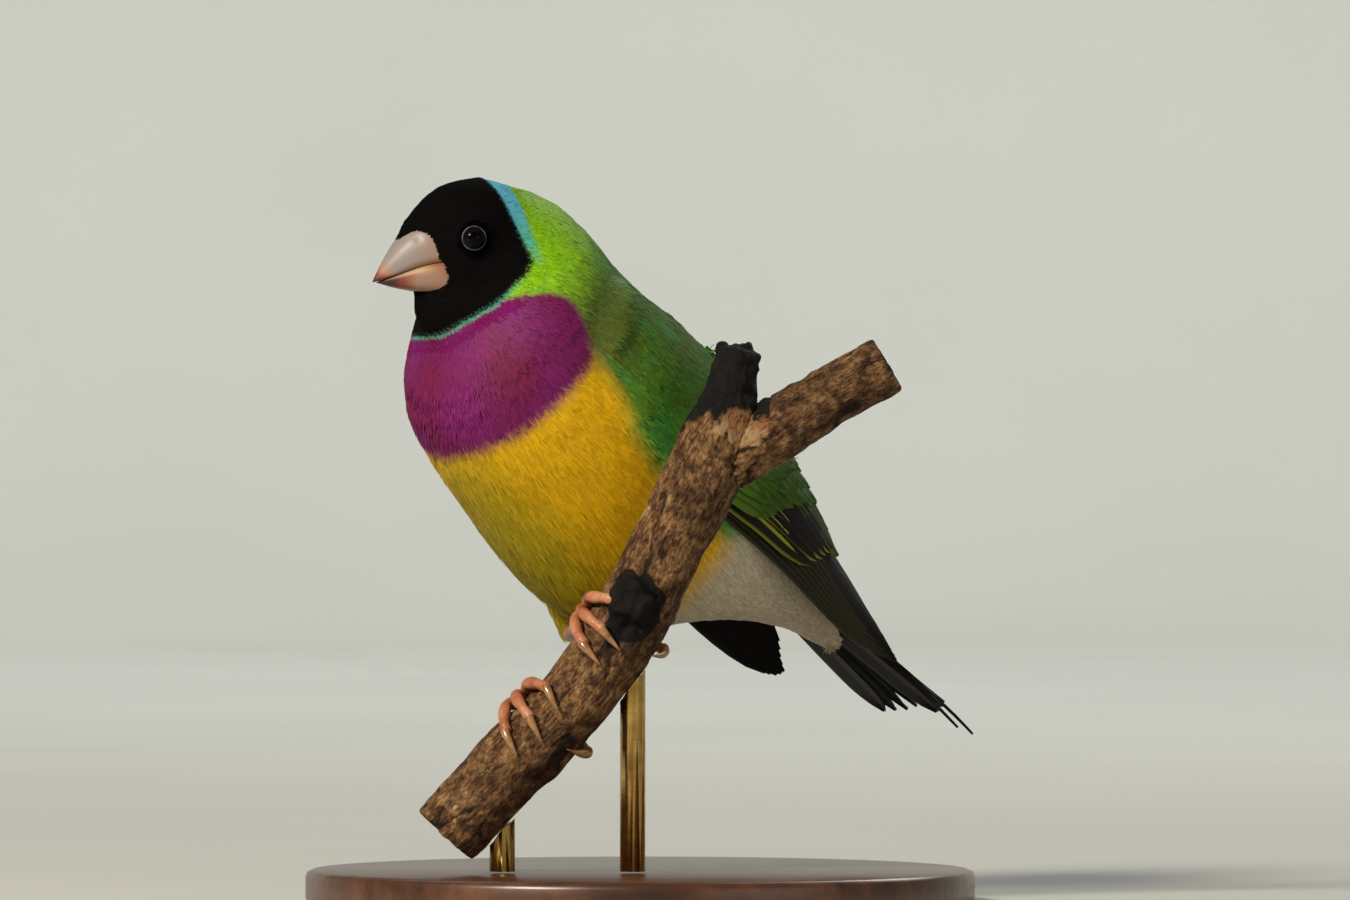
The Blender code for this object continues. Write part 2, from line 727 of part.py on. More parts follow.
def build_tail(body_grown, collection, cutters):
    """Twelve tail feathers, the middle pair drawn out into pins, with their coverts."""
    draw = random.Random(SEED)
    pieces = []
    pairs = 4
    for i in range(pairs):
        share = i / (pairs - 1)
        for side in (1.0, -1.0):
            root = TAIL_ROOT + Vector((0.0, side * (2.8 - 1.8 * share), -2.0 * (1 - share) + 0.3)) * MM
            length = TAIL_LENGTH * (0.90 + 0.09 * share) + draw.uniform(-0.3, 0.3) * MM
            turn = side * math.radians(7.0 - 5.5 * share)
            root.z += 0.16 * side * MM
            rise = TAIL_RISE - TAIL_DROOP * (1.0 - share)
            pieces.append(tail_vane("rectrix", root, length, turn, rise,
                                    2.2 * MM, 0.3, cutters))
    for side in (1.0, -1.0):
        root = TAIL_ROOT + Vector((0.0, side * 0.9, 0.75 + 0.12 * side)) * MM
        pieces.append(tail_vane("middle", root, TAIL_LENGTH, side * math.radians(0.4), TAIL_RISE,
                                1.9 * MM, 0.3, cutters))
        end = root + Vector((-math.cos(TAIL_RISE), 0.0, math.sin(TAIL_RISE))) * (TAIL_LENGTH - 2 * MM)
        end.y = side * PIN_SPACING
        reach = TAIL_PIN * (1.0 if side > 0 else SHORT_PIN_SHARE) + 2 * MM
        pin = Vector((-math.cos(TAIL_RISE), side * 0.05, math.sin(TAIL_RISE))) * reach
        points = [on_body(*(end + pin * s)) - BODY_AXES[2] * 0.3 * MM for s in (0.0, 0.5, 1.0)]
        pieces.append(tube("pin", points, [0.42 * MM, 0.34 * MM, 0.16 * MM], cutters, 1))
    for i in range(4):
        share = i / 3 - 0.5
        over = TAIL_ROOT + Vector((1.0, share * 5.2, 1.6 - 2.4 * share * share)) * MM
        under = TAIL_ROOT + Vector((1.0, share * 6.4, -2.0 + 2.0 * share * share)) * MM
        turn = math.radians(8.0 * share)
        pieces.append(tail_vane("over", over, 13.0 * MM, turn, TAIL_RISE - math.radians(3.0),
                                2.2 * MM, 0.5, cutters))
        pieces.append(tail_vane("under", under, 17.0 * MM, turn, TAIL_RISE + math.radians(3.5),
                                2.6 * MM, 0.5, cutters))
    tail = join_pieces("tail", pieces, collection)
    cut_away(tail, body_grown)
    return tail


def roughened(obj, draw, amount):
    """Bark's slow swellings and hollows."""
    for vert in obj.data.vertices:
        wave = math.sin(vert.co.x / MM * 0.9 + vert.co.z / MM * 0.7)
        wave += math.sin(vert.co.z / MM * 1.7 - vert.co.y / MM * 1.3)
        vert.co += vert.normal * amount * (0.35 * wave + draw.uniform(-0.5, 0.5))


def branch_tube(name, line, steps, cutters):
    spots = [line_point(line, i / steps) for i in range(steps + 1)]
    return tube(name, [spot[0] for spot in spots], [spot[1] for spot in spots], cutters, 5)


def build_stem(collection, cutters):
    """The stem with its broken top and the stump of a twig."""
    draw = random.Random(SEED)
    stem = branch_tube("stem", STEM_LINE, 26, cutters)
    roughened(stem, draw, BARK_ROUGHNESS)
    knot_start = KNOT_PLACE + Vector((0.0, BRANCH_Y, 0.0))
    reach = Vector((-0.1, -1.0, 0.05)).normalized() * KNOT_REACH
    knot = tube("knot", [knot_start, knot_start + reach * 0.8, knot_start + reach],
                [KNOT_RADIUS * 1.2, KNOT_RADIUS, KNOT_RADIUS * 0.72], cutters, 3)
    splinter_foot = line_point(STEM_LINE, 0.93)[0]
    pieces = [stem, knot]
    for offset, lean, radius in ((-2.0, -0.4, 1.3), (0.4, 0.1, 1.5), (1.9, 0.5, 1.1)):
        foot = splinter_foot + Vector((offset * 0.8, draw.uniform(-0.8, 0.8), 0.0)) * MM
        top = foot + Vector((lean, 0.0, 5.2 - 0.2 * offset)) * MM
        pieces.append(tube("splinter", [foot, top], [radius * MM, 0.7 * radius * MM], cutters, 1))
    return join_pieces("perch_stem", pieces, collection)


def build_side_branch(stem_grown, collection, cutters):
    draw = random.Random(SEED + 5)
    branch = branch_tube("side", SIDE_LINE, 14, cutters)
    roughened(branch, draw, BARK_ROUGHNESS)
    side = join_pieces("perch_side", [branch], collection)
    cut_away(side, stem_grown)
    return side


def grip_point(share, turn, along, height):
    """A point round the stem: turn 0 faces the viewer, 90 degrees its upper left."""
    centre, radius = line_point(STEM_LINE, share)
    tangent = (line_point(STEM_LINE, share + 0.02)[0] - line_point(STEM_LINE, share - 0.02)[0])
    tangent.normalize()
    left = Vector((-tangent.z, 0.0, tangent.x))
    outward = Vector((0.0, -math.cos(turn), 0.0)) + left * math.sin(turn)
    return centre + tangent * along + outward * (radius + height)


def toe_line(share, turns, alongs, heights, count):
    points = []
    for i in range(count):
        step = i / (count - 1)
        turn = math.radians(turns[0] + (turns[1] - turns[0]) * step)
        along = alongs[0] + (alongs[1] - alongs[0]) * step
        height = heights[0] + (heights[1] - heights[0]) * step
        points.append(grip_point(share, turn, along, height))
    return points


FEET = {
    "leg_right": {
        "share": 0.405, "palm": 138.0, "hip": (-7.0, -7.5, -13.0), "heel": (-16.5, -8.0, -20.5),
        "toes": ((30.0, 3.2), (22.0, -1.2), (34.0, -4.4)), "hind": (262.0, 0.8),
    },
    "leg_left": {
        "share": 0.205, "palm": 146.0, "hip": (-9.0, 7.0, -12.0), "heel": (-21.0, 4.5, -25.5),
        "toes": ((40.0, 3.4), (26.0, -1.4), (38.0, -5.2)), "hind": (278.0, 0.6),
    },
}


def build_leg(name, body_grown, stem_grown, collection, cutters):
    """A feathered shank, the bare tarsus, four toes round the stem and their claws."""
    foot = FEET[name]
    palm_turn = foot["palm"]
    share = foot["share"]
    palm = grip_point(share, math.radians(palm_turn), 0.0, 1.3 * MM)
    hip = on_body(*(Vector(foot["hip"]) * MM))
    heel = on_body(*(Vector(foot["heel"]) * MM))
    pieces = [tube("shank", [hip, hip.lerp(heel, 0.6), heel],
                   [3.4 * MM, 2.6 * MM, 1.35 * MM], cutters, 3)]
    pieces.append(tube("tarsus", [heel, heel.lerp(palm, 0.5), palm],
                       [1.3 * MM, TARSUS_RADIUS, 1.35 * MM], cutters, 3))
    pieces.append(ellipsoid("pad", palm, BODY_AXES, [1.75 * MM] * 3, 12, cutters))
    for end, along in foot["toes"]:
        turns = (palm_turn, end)
        line = toe_line(share, turns, (0.0, along * MM), (1.1 * MM, 0.75 * MM), 6)
        radii = [TOE_RADIUS * (1.0 - 0.26 * i / 5) for i in range(6)]
        pieces.append(tube("toe", line, radii, cutters, 1))
        claw = toe_line(share, (end + 4.0, end - 33.0), (along * MM, (along - 1.3) * MM),
                        (0.95 * MM, 0.75 * MM), 5)
        pieces.append(tube("claw", claw, [CLAW_RADIUS * r for r in (1.0, 0.95, 0.75, 0.5, 0.2)],
                           cutters, 1))
    end, along = foot["hind"]
    line = toe_line(share, (palm_turn, end), (0.0, along * MM), (1.1 * MM, 0.85 * MM), 7)
    pieces.append(tube("toe", line, [TOE_RADIUS * (1.0 - 0.2 * i / 6) for i in range(7)], cutters, 1))
    claw = toe_line(share, (end - 4.0, end + 46.0), (along * MM, (along - 1.6) * MM),
                    (1.05 * MM, 1.1 * MM), 6)
    pieces.append(tube("claw", claw, [CLAW_RADIUS * r for r in (1.05, 1.0, 0.85, 0.65, 0.45, 0.2)],
                       cutters, 1))
    leg = join_pieces(name, pieces, collection)
    cut_away(leg, body_grown)
    cut_away(leg, stem_grown)
    return leg


def build_base(collection):
    bm = bmesh.new()
    bmesh.ops.create_cone(bm, cap_ends=True, segments=48, radius1=BASE_RADIUS,
                          radius2=BASE_RADIUS, depth=BASE_HEIGHT)
    bmesh.ops.translate(bm, vec=(0.0, 0.0, 0.5 * BASE_HEIGHT), verts=bm.verts)
    mesh = bpy.data.meshes.new("stand_base")
    bm.to_mesh(mesh)
    bm.free()
    base = new_object("stand_base", mesh, collection)
    edge = base.modifiers.new("edge", "BEVEL")
    edge.width = BASE_EDGE
    edge.segments = 2
    edge.limit_method = "ANGLE"
    return base


def build_rod(name, x, stem_grown, collection):
    bm = bmesh.new()
    bottom = BASE_HEIGHT + GAP
    bmesh.ops.create_cone(bm, cap_ends=True, segments=20, radius1=ROD_RADIUS,
                          radius2=ROD_RADIUS, depth=ROD_TOP - bottom)
    bmesh.ops.translate(bm, vec=(x, BRANCH_Y, 0.5 * (ROD_TOP + bottom)), verts=bm.verts)
    mesh = bpy.data.meshes.new(name)
    bm.to_mesh(mesh)
    bm.free()
    rod = new_object(name, mesh, collection)
    cut = rod.modifiers.new("cut", "BOOLEAN")
    cut.operation = "DIFFERENCE"
    cut.object = stem_grown
    bake_modifiers(rod)
    keep_lowest(rod)
    return rod


def keep_lowest(obj):
    """Drops what a cutter leaves above it."""
    bm = bmesh.new()
    bm.from_mesh(obj.data)
    parts = list(islands(bm))
    parts.sort(key=lambda part: min(vert.co.z for face in part for vert in face.verts))
    scraps = [face for part in parts[1:] for face in part]
    bmesh.ops.delete(bm, geom=scraps, context="FACES")
    bm.to_mesh(obj.data)
    bm.free()


def main():
    clear_scene()
    finch = make_collection("gouldian_finch")
    cutters = make_collection("cutters")
    paint = {name: make_material(name) for name in COLOURS}

    body = build_body(cutters)
    body_grown = grown_copy(body, GAP, cutters)
    head, neck, torso = part_body(body, finch)
    head = finish_head(head, finch, cutters)
    bill_upper = build_bill("bill_upper", True, body_grown, finch, cutters)
    bill_lower = build_bill("bill_lower", False, body_grown, finch, cutters)
    eyes = [build_eye("eye_left", 1.0, finch), build_eye("eye_right", -1.0, finch)]
    wings = [build_wing("wing_left", 1.0, body_grown, finch, cutters),
             build_wing("wing_right", -1.0, body_grown, finch, cutters)]
    tail = build_tail(body_grown, finch, cutters)

    stem = build_stem(finch, cutters)
    stem_grown = grown_copy(stem, GAP, cutters)
    side = build_side_branch(stem_grown, finch, cutters)
    legs = [build_leg(name, body_grown, stem_grown, finch, cutters) for name in FEET]
    base = build_base(finch)
    rods = [build_rod(f"stand_rod_{i + 1}", x, stem_grown, finch) for i, x in enumerate(ROD_PLACES)]

    finish(head, paint["black_feather"])
    finish(neck, paint["purple_feather"])
    finish(torso, paint["green_feather"])
    finish(tail, paint["dark_feather"])
    for wing in wings:
        finish(wing, paint["green_feather"])
    for bill in (bill_upper, bill_lower):
        finish(bill, paint["bill_horn"])
    for eye in eyes:
        finish(eye, paint["eye_gloss"])
    for leg in legs:
        finish(leg, paint["leg_skin"])
    for wood in (stem, side):
        finish(wood, paint["bark"])
    finish(base, paint["stand_wood"])
    for rod in rods:
        finish(rod, paint["stand_brass"])


main()
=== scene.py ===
# %% [markdown]
# A gouldian finch on a cut branch, dressed for a museum shelf.
#
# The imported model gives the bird, its perch and its stand at their real size. Everything
# here is laid over it: one skin in place of the flesh, a coat of many small feathers, the
# flight and tail feathers, a horn bill, wet eyes, scaled feet and bark. The scene is in
# metres, and most numbers below are in mm, turned into metres by MM.

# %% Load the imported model
import math

import bmesh
import bpy
import numpy as np
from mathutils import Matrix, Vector


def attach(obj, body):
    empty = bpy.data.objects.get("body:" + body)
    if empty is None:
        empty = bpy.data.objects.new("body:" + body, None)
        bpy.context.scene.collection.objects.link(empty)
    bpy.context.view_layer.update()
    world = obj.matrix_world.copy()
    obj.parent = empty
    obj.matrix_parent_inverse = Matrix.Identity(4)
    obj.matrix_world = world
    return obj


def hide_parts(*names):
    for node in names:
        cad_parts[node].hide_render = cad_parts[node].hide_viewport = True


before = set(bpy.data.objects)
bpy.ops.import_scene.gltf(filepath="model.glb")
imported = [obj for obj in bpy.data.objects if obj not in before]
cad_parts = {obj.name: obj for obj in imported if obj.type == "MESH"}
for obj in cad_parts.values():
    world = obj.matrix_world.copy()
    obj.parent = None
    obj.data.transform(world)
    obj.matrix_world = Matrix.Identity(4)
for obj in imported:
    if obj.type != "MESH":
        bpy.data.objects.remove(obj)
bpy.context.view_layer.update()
MM = 0.001
SEED = 2910

# %% [markdown]
# The bird has a frame of its own. Its trunk points left, towards the viewer and up, and
# its head is turned a little away from the trunk. Every marking and every feather is
# placed by these two frames, so that both sides of the bird carry the same pattern.

# %% The bird's own axes
BODY_YAW, BODY_PITCH = math.radians(36.0), math.radians(39.0)
HEAD_YAW, HEAD_PITCH = math.radians(20.0), math.radians(-21.0)
TRUNK_CENTRE = np.array((-5.4, 9.5, 64.9)) * MM
HEAD_CENTRE = np.array((-24.3, -4.2, 94.3)) * MM


def frame_axes(yaw, pitch):
    """Rows: forward, left and up of something that faces the viewer's left."""
    left = np.array((math.sin(yaw), -math.cos(yaw), 0.0))
    level = np.array((-math.cos(yaw), -math.sin(yaw), 0.0))
    forward = level * math.cos(pitch) + np.array((0.0, 0.0, math.sin(pitch)))
    return np.array((forward, left, np.cross(forward, left)))


BODY = frame_axes(BODY_YAW, BODY_PITCH)
HEAD = frame_axes(HEAD_YAW, HEAD_PITCH)


def on_body(forward, left, up):
    """A place given in the trunk's frame, in mm."""
    return TRUNK_CENTRE + (np.array((forward, left, up)) * MM) @ BODY


def on_head(forward, left, up):
    """A place given in the head's frame, in mm."""
    return HEAD_CENTRE + (np.array((forward, left, up)) * MM) @ HEAD


def in_body(points):
    return ((points - TRUNK_CENTRE) @ BODY.T) / MM


def in_head(points):
    return ((points - HEAD_CENTRE) @ HEAD.T) / MM


print("bill points to", HEAD[0].round(2), "and the trunk to", BODY[0].round(2))

# %% [markdown]
# Small tools for meshes. A modelled piece starts as a primitive whose points are then
# moved to the form that a formula gives, which keeps its faces even. Feathers are too
# many for that, so they are written to one mesh in bulk.

# %% Mesh helpers


def unit(vectors):
    """Vectors of length one, also from a single vector."""
    return vectors / np.maximum(np.linalg.norm(vectors, axis=-1, keepdims=True), 1e-9)


def read_rows(rows, at):
    """Rows read at shares 0 to 1 of their length, straight between neighbours."""
    rows = np.array(rows)
    knots = np.linspace(0.0, 1.0, len(rows))
    return np.stack([np.interp(at, knots, column) for column in rows.T], axis=-1)


def fresh():
    """Back to object mode with nothing selected."""
    if bpy.context.object and bpy.context.object.mode != "OBJECT":
        bpy.ops.object.mode_set(mode="OBJECT")
    bpy.ops.object.select_all(action="DESELECT")


def linked(name, data):
    """A new object with its data, linked to the scene."""
    obj = bpy.data.objects.new(name, data)
    bpy.context.scene.collection.objects.link(obj)
    return obj


def cleaned(obj, merge=0.002, close=False):
    """Merges points within so many mm, closes open ends if asked and mends normals."""
    bm = bmesh.new()
    bm.from_mesh(obj.data)
    bmesh.ops.remove_doubles(bm, verts=bm.verts, dist=merge * MM)
    if close:
        bmesh.ops.holes_fill(bm, edges=[edge for edge in bm.edges if edge.is_boundary])
    bmesh.ops.recalc_face_normals(bm, faces=bm.faces)
    bm.to_mesh(obj.data)
    bm.free()


def primitive(name, add, **settings):
    """A primitive made by one of Blender's own operators, at the origin."""
    fresh()
    add(**settings)
    obj = bpy.context.object
    obj.name = name
    return obj


def shaped_grid(name, columns, rows, form):
    """A grid primitive whose point (u, v), each from 0 to 1, is moved to form(u, v)."""
    obj = primitive(name, bpy.ops.mesh.primitive_grid_add, x_subdivisions=columns,
                    y_subdivisions=rows, size=1.0)
    for vert in obj.data.vertices:
        vert.co = Vector(form(vert.co.x + 0.5, vert.co.y + 0.5))
    cleaned(obj)
    obj.data.shade_smooth()
    return obj


def joined(name, objects):
    fresh()
    for obj in objects:
        obj.select_set(True)
    bpy.context.view_layer.objects.active = objects[0]
    if len(objects) > 1:
        bpy.ops.object.join()
    result = bpy.context.object
    result.name = name
    return result


def applied(obj, kind, **settings):
    """Adds a modifier with its settings and applies it."""
    fresh()
    bpy.context.view_layer.objects.active = obj
    obj.select_set(True)
    modifier = obj.modifiers.new(kind.lower(), kind)
    for key, value in settings.items():
        setattr(modifier, key, value)
    bpy.ops.object.modifier_apply(modifier=modifier.name)


def remeshed(obj, voxel, rounds):
    """One even closed mesh in place of all that lies in the object, then smoothed."""
    applied(obj, "REMESH", mode="VOXEL", voxel_size=voxel)
    applied(obj, "SMOOTH", factor=0.5, iterations=rounds)


def cad_copy(name, nodes):
    """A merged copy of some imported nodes, as one loose object."""
    copies = []
    for node in nodes:
        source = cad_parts[node]
        copy = linked(name, source.data.copy())
        copy.matrix_world = source.matrix_world
        copies.append(copy)
    result = joined(name, copies)
    cleaned(result)
    return result


def vertex_rows(obj, key="co"):
    """The places or the normals of a mesh's points, one to a row."""
    values = np.empty(len(obj.data.vertices) * 3)
    obj.data.vertices.foreach_get(key, values)
    return values.reshape(-1, 3)


def add_layer(obj, name, values):
    """Keeps one number for each point of a mesh."""
    layer = obj.data.attributes.new(name, "FLOAT", "POINT")
    layer.data.foreach_set("value", np.array(values, dtype=np.float32))


def add_colours(mesh, colours):
    """Keeps a feather colour for each point of a mesh."""
    rgba = np.ones((len(mesh.vertices), 4), dtype=np.float32)
    rgba[:, :3] = colours
    layer = mesh.color_attributes.new("plumage", "FLOAT_COLOR", "POINT")
    layer.data.foreach_set("color", rgba.reshape(-1))


def covered(obj, material):
    """Smooth, and with this material alone."""
    obj.data.shade_smooth()
    obj.data.materials.clear()
    obj.data.materials.append(material)
    return obj


def lattice_noise(points, seed):
    """Smooth random values, about -1 to 1, whose lumps are one unit across."""
    table = np.random.default_rng(SEED + seed).uniform(-1.0, 1.0, 4096)
    cell = np.floor(points).astype(np.int64)
    part = points - cell
    part = part * part * (3.0 - 2.0 * part)
    total = np.zeros(len(points))
    for corner in np.ndindex(2, 2, 2):
        share = np.prod(np.where(corner, part, 1.0 - part), axis=1)
        total += share * table[(cell + corner) @ (1619, 31337, 6971) % 4096]
    return total


def bulk_mesh(name, verts, faces, colours, unwrap):
    """One mesh from arrays: points, faces of one kind, a colour and a map place each."""
    mesh = bpy.data.meshes.new(name)
    loops = faces.reshape(-1)
    mesh.vertices.add(len(verts))
    mesh.vertices.foreach_set("co", verts.astype(np.float32).reshape(-1))
    mesh.loops.add(len(loops))
    mesh.loops.foreach_set("vertex_index", loops.astype(np.int32))
    mesh.polygons.add(len(faces))
    starts = np.arange(len(faces)) * faces.shape[1]
    mesh.polygons.foreach_set("loop_start", starts.astype(np.int32))
    mesh.polygons.foreach_set("use_smooth", np.ones(len(faces), dtype=bool))
    mesh.update(calc_edges=True)
    add_colours(mesh, np.clip(colours, 0.0, 1.0))
    layer = mesh.uv_layers.new(name="OFBake")
    layer.data.foreach_set("uv", unwrap[loops].astype(np.float32).reshape(-1))
    return linked(name, mesh)


print("helpers ready")

# %% [markdown]
# The plumage. A gouldian finch has flat patches with sharp borders: a velvet-black mask,
# a turquoise line behind it, a lime nape, a violet breast, a yellow belly, green back
# and wings, a pale blue rump and a white vent. Each border is a short curve, the mask's
# in the head's frame and the others in the trunk's, so skin and feathers can ask for the
# colour of any place and get the same answer. Colours are named in screen values and
# turned linear.

# %% Plumage colours and borders


def linear(red, green, blue):
    value = np.array((red, green, blue)) / 255.0
    return np.where(value <= 0.04045, value / 12.92, ((value + 0.055) / 1.055) ** 2.4)


BLACK = linear(9, 7, 7)
TURQUOISE = linear(84, 184, 158)
SKY = linear(98, 180, 204)
LIME = linear(140, 196, 22)
MOSS = linear(92, 116, 30)
LEAF = linear(72, 128, 30)
EMERALD = linear(60, 160, 70)
OLIVE = linear(86, 88, 36)
VIOLET = linear(118, 26, 98)
WINE = linear(110, 18, 62)
YOLK = linear(242, 186, 4)
BRASSY = linear(206, 164, 10)
OCHRE_GREEN = linear(158, 148, 20)
CREAM = linear(214, 200, 170)
RUMP_BLUE = linear(120, 176, 190)

MASK_BACK = ((-12.0, -5.6), (-4.3, -4.9), (-1.0, -4.9), (4.0, -5.1), (7.5, -5.1), (12.0, -5.4))
MASK_LOW = ((-4.9, -4.4), (-4.0, -4.9), (-3.1, -5.6), (-1.2, -6.4), (2.5, -8.1), (6.7, -9.1),
            (9.9, -10.0), (12.0, -9.6))
BREAST_TOP = ((18.6, 0.4), (19.2, 1.3), (21.3, 3.3), (24.0, 5.4), (26.4, 6.4), (29.0, 5.7),
              (31.4, 3.4), (33.0, 1.0), (36.0, -2.0))
BREAST_LOW = ((-20.0, 20.6), (-17.4, 20.5), (-13.0, 19.4), (-6.8, 19.0), (-1.0, 18.7), (3.0, 18.9))
FLANK_TOP = ((-30.0, 0.0), (-20.0, -2.5), (-8.0, -4.6), (0.0, -4.4), (4.0, -3.9), (8.3, -2.8),
             (12.4, -0.5), (18.4, 1.0), (24.0, 2.0))
OLIVE_FROM, OLIVE_HEIGHT, OLIVE_HALF = 15.5, 4.5, 9.5
LIME_FROM, RUMP_TO, RUMP_LOW = 27.0, -24.0, 6.0
# Where the yellow ends in front, and the heights below which painted shade darkens the belly and the
# thighs.
BELLY_TO, BELLY_PAINTED_SHADE_FROM, THIGH_PAINTED_SHADE_FROM = 22.0, -6.0, -18.5
VENT_TO, VENT_TOP = -17.5, 3.4
BAND_BEHIND, BAND_UNDER = 2.7, 0.3
SOFT_BORDER, SOFT_BAND, SOFT_MASK = 1.1, 0.45, 0.35


def read_curve(curve, at):
    xs, ys = zip(*curve)
    return np.interp(at, xs, ys)


def climb(value, start, reach):
    """0 up to the start, then evenly up to 1 over this reach."""
    return np.clip((value - start) / reach, 0.0, 1.0)


def soft_step(value, width):
    """0 to 1 over a border of this width, with 0.5 where the value is 0."""
    return np.clip(value / width + 0.5, 0.0, 1.0)


def blend(first, second, share):
    share = np.asarray(share)[..., None]
    return first * (1.0 - share) + second * share


def plumage(points, wander=0.0):
    """The feather colour at places on the bird. A wander in mm moves the borders, so
    that neighbouring feathers don't all change colour on one line."""
    body, head = in_body(points), in_head(points)
    wander = np.zeros(len(points)) + wander
    ahead, up = body[:, 0] + wander, body[:, 2] + wander * 0.6

    patch = soft_step(0.6 * lattice_noise(body * (0.14, 0.26, 0.26), 21), 1.0)
    colour = blend(LEAF, MOSS, 0.75 * patch)
    glint = soft_step(lattice_noise(body * (0.2, 0.45, 0.45), 22) - 0.3, 0.3)
    colour = blend(colour, EMERALD, 0.6 * glint)
    shoulder = soft_step(ahead - OLIVE_FROM, 6.0)
    shoulder *= soft_step(OLIVE_HALF - np.abs(up - OLIVE_HEIGHT), 5.0)
    colour = blend(colour, OLIVE, 0.85 * shoulder)
    colour = blend(colour, LIME, soft_step(ahead - LIME_FROM + 0.15 * up, 7.0))
    rump = soft_step(RUMP_TO - ahead, 5.0) * soft_step(up - RUMP_LOW, 3.0)
    colour = blend(colour, RUMP_BLUE, rump)

    # Painted shade: lower on the belly the yellow turns brassy, and near the thighs ochre-green.
    yellow = blend(YOLK, BRASSY, climb(-up, -BELLY_PAINTED_SHADE_FROM, 16.0) ** 1.1)
    yellow = blend(yellow, OCHRE_GREEN, soft_step(THIGH_PAINTED_SHADE_FROM - up, 5.0) * 0.8)
    below = soft_step(read_curve(FLANK_TOP, ahead) - up, 3.2)
    colour = blend(colour, yellow, below * soft_step(BELLY_TO - ahead, 2.0))
    vent = soft_step(VENT_TO - ahead + 0.1 * up, 5.0)
    vent *= soft_step(VENT_TOP + 0.18 * np.clip(-ahead - 24.0, 0.0, 20.0) - up, 3.0)
    colour = blend(colour, CREAM, vent)

    wine = soft_step(0.7 * lattice_noise(body * 0.16, 23), 1.0)
    breast = soft_step(read_curve(BREAST_TOP, ahead) - up, SOFT_BORDER)
    breast *= soft_step(ahead - read_curve(BREAST_LOW, up), SOFT_BORDER)
    colour = blend(colour, blend(VIOLET, WINE, wine), breast)

    fore, high = head[:, 0] + 0.5 * wander, head[:, 2] + 0.4 * wander
    behind = read_curve(MASK_BACK, high) - fore
    under = read_curve(MASK_LOW, fore) - high
    outside = np.maximum(behind, under)
    band_wide = BAND_BEHIND - 0.14 * np.clip(6.0 - high, 0.0, 12.0)
    band = soft_step(np.where(behind > under, band_wide, BAND_UNDER) - outside, SOFT_BAND)
    band *= soft_step(head[:, 2] + 13.5, 1.0)
    corner = np.where(behind > under, soft_step(high + 3.6, 3.0), soft_step(fore + 1.6, 3.0))
    band *= 0.15 + 0.85 * corner
    colour = blend(colour, blend(TURQUOISE, SKY, soft_step(high - 1.0, 6.0)), band)
    colour = blend(colour, BLACK, soft_step(-outside, SOFT_MASK))
    return np.clip(colour, 0.0, 1.0)


print("plumage sampled at the crown:", plumage(on_head(0, 0, 9.6)[None])[0].round(3))

# %% [markdown]
# Shader maths reads best as plain sums. The nodes could be placed one by one, but then a
# formula is hard to see, so one small class wraps a node's socket and turns + - * into
# Math nodes, also where a number stands first. Every finish below is then a few lines.

# %% A socket that does sums


class Wire:
    def __init__(self, finish, socket):
        self.finish = finish
        self.socket = socket

    def _sum(self, operation, first, second):
        return self.finish.node("ShaderNodeMath", {"operation": operation}, [first, second])

    def __add__(self, other):
        return self._sum("ADD", self, other)

    def __sub__(self, other):
        return self._sum("SUBTRACT", self, other)

    def __rsub__(self, other):
        return self._sum("SUBTRACT", other, self)

    def __mul__(self, other):
        return self._sum("MULTIPLY", self, other)

    __radd__ = __add__
    __rmul__ = __mul__


class Finish:
    """A material with a Principled shader and short ways to add nodes."""

    def __init__(self, name, **constants):
        self.material = bpy.data.materials.new(name)
        self.material.use_nodes = True
        self.tree = self.material.node_tree
        self.shader = self.tree.nodes["Principled BSDF"]
        for key, value in constants.items():
            self.shader.inputs[key.replace("_", " ")].default_value = value

    def node(self, kind, settings, values, output=0):
        """Adds a node: first its settings or its ramp's stops, then its values and links."""
        node = self.tree.nodes.new(kind)
        for key, value in settings.items():
            if key == "stops":
                while len(node.color_ramp.elements) < len(value):
                    node.color_ramp.elements.new(0.5)
                for element, (position, colour) in zip(node.color_ramp.elements, value):
                    element.position = position
                    element.color = (*colour, 1.0)
            else:
                setattr(node, key, value)
        pairs = values.items() if isinstance(values, dict) else enumerate(values)
        for key, value in pairs:
            if isinstance(value, Wire):
                self.tree.links.new(value.socket, node.inputs[key])
            else:
                node.inputs[key].default_value = value
        return Wire(self, node.outputs[output])

    def place(self):
        return self.node("ShaderNodeTexCoord", {}, {}, "Object")

    def noise(self, scale, detail=3.0, vector=None, roughness=0.55):
        vector = vector or self.place()
        return self.node("ShaderNodeTexNoise", {}, {"Vector": vector, "Scale": scale,
                         "Detail": detail, "Roughness": roughness}, "Fac")

    def ramp(self, factor, stops):
        return self.node("ShaderNodeValToRGB", {"stops": stops}, {"Fac": factor}, "Color")

    def mix(self, factor, first, second, kind="MIX"):
        settings = {"data_type": "RGBA", "blend_type": kind}
        rgba = [value if isinstance(value, Wire) else (*value, 1.0) for value in (first, second)]
        return self.node("ShaderNodeMix", settings, {0: factor, 6: rgba[0], 7: rgba[1]}, 2)

    def attribute(self, name, output="Color"):
        return self.node("ShaderNodeAttribute", {"attribute_name": name}, {}, output)

    def bump(self, height, strength, distance):
        normal = self.node("ShaderNodeBump", {}, {"Strength": strength, "Distance": distance,
                           "Height": height}, "Normal")
        self.feed("Normal", normal)

    def feed(self, name, wire):
        self.tree.links.new(wire.socket, self.shader.inputs[name])


def toned(name, scale, detail, stops, relief=None, **constants):
    """A finish whose colour wanders between a few tones, with or without fine relief."""
    finish = Finish(name, **constants)
    finish.feed("Base Color", finish.ramp(finish.noise(scale, detail), stops))
    if relief:
        fine_scale, fine_detail, strength, distance = relief
        finish.bump(finish.noise(fine_scale, fine_detail), strength, distance)
    return finish


print("shader helpers ready")

# %% [markdown]
# Feather finishes. The coat's materials take each feather's colour from the plumage
# attribute and break it up with fine noise; the face's is dull, like velvet. Flight
# feathers carry the fine slanted lines of their barbs.

# %% Feather materials


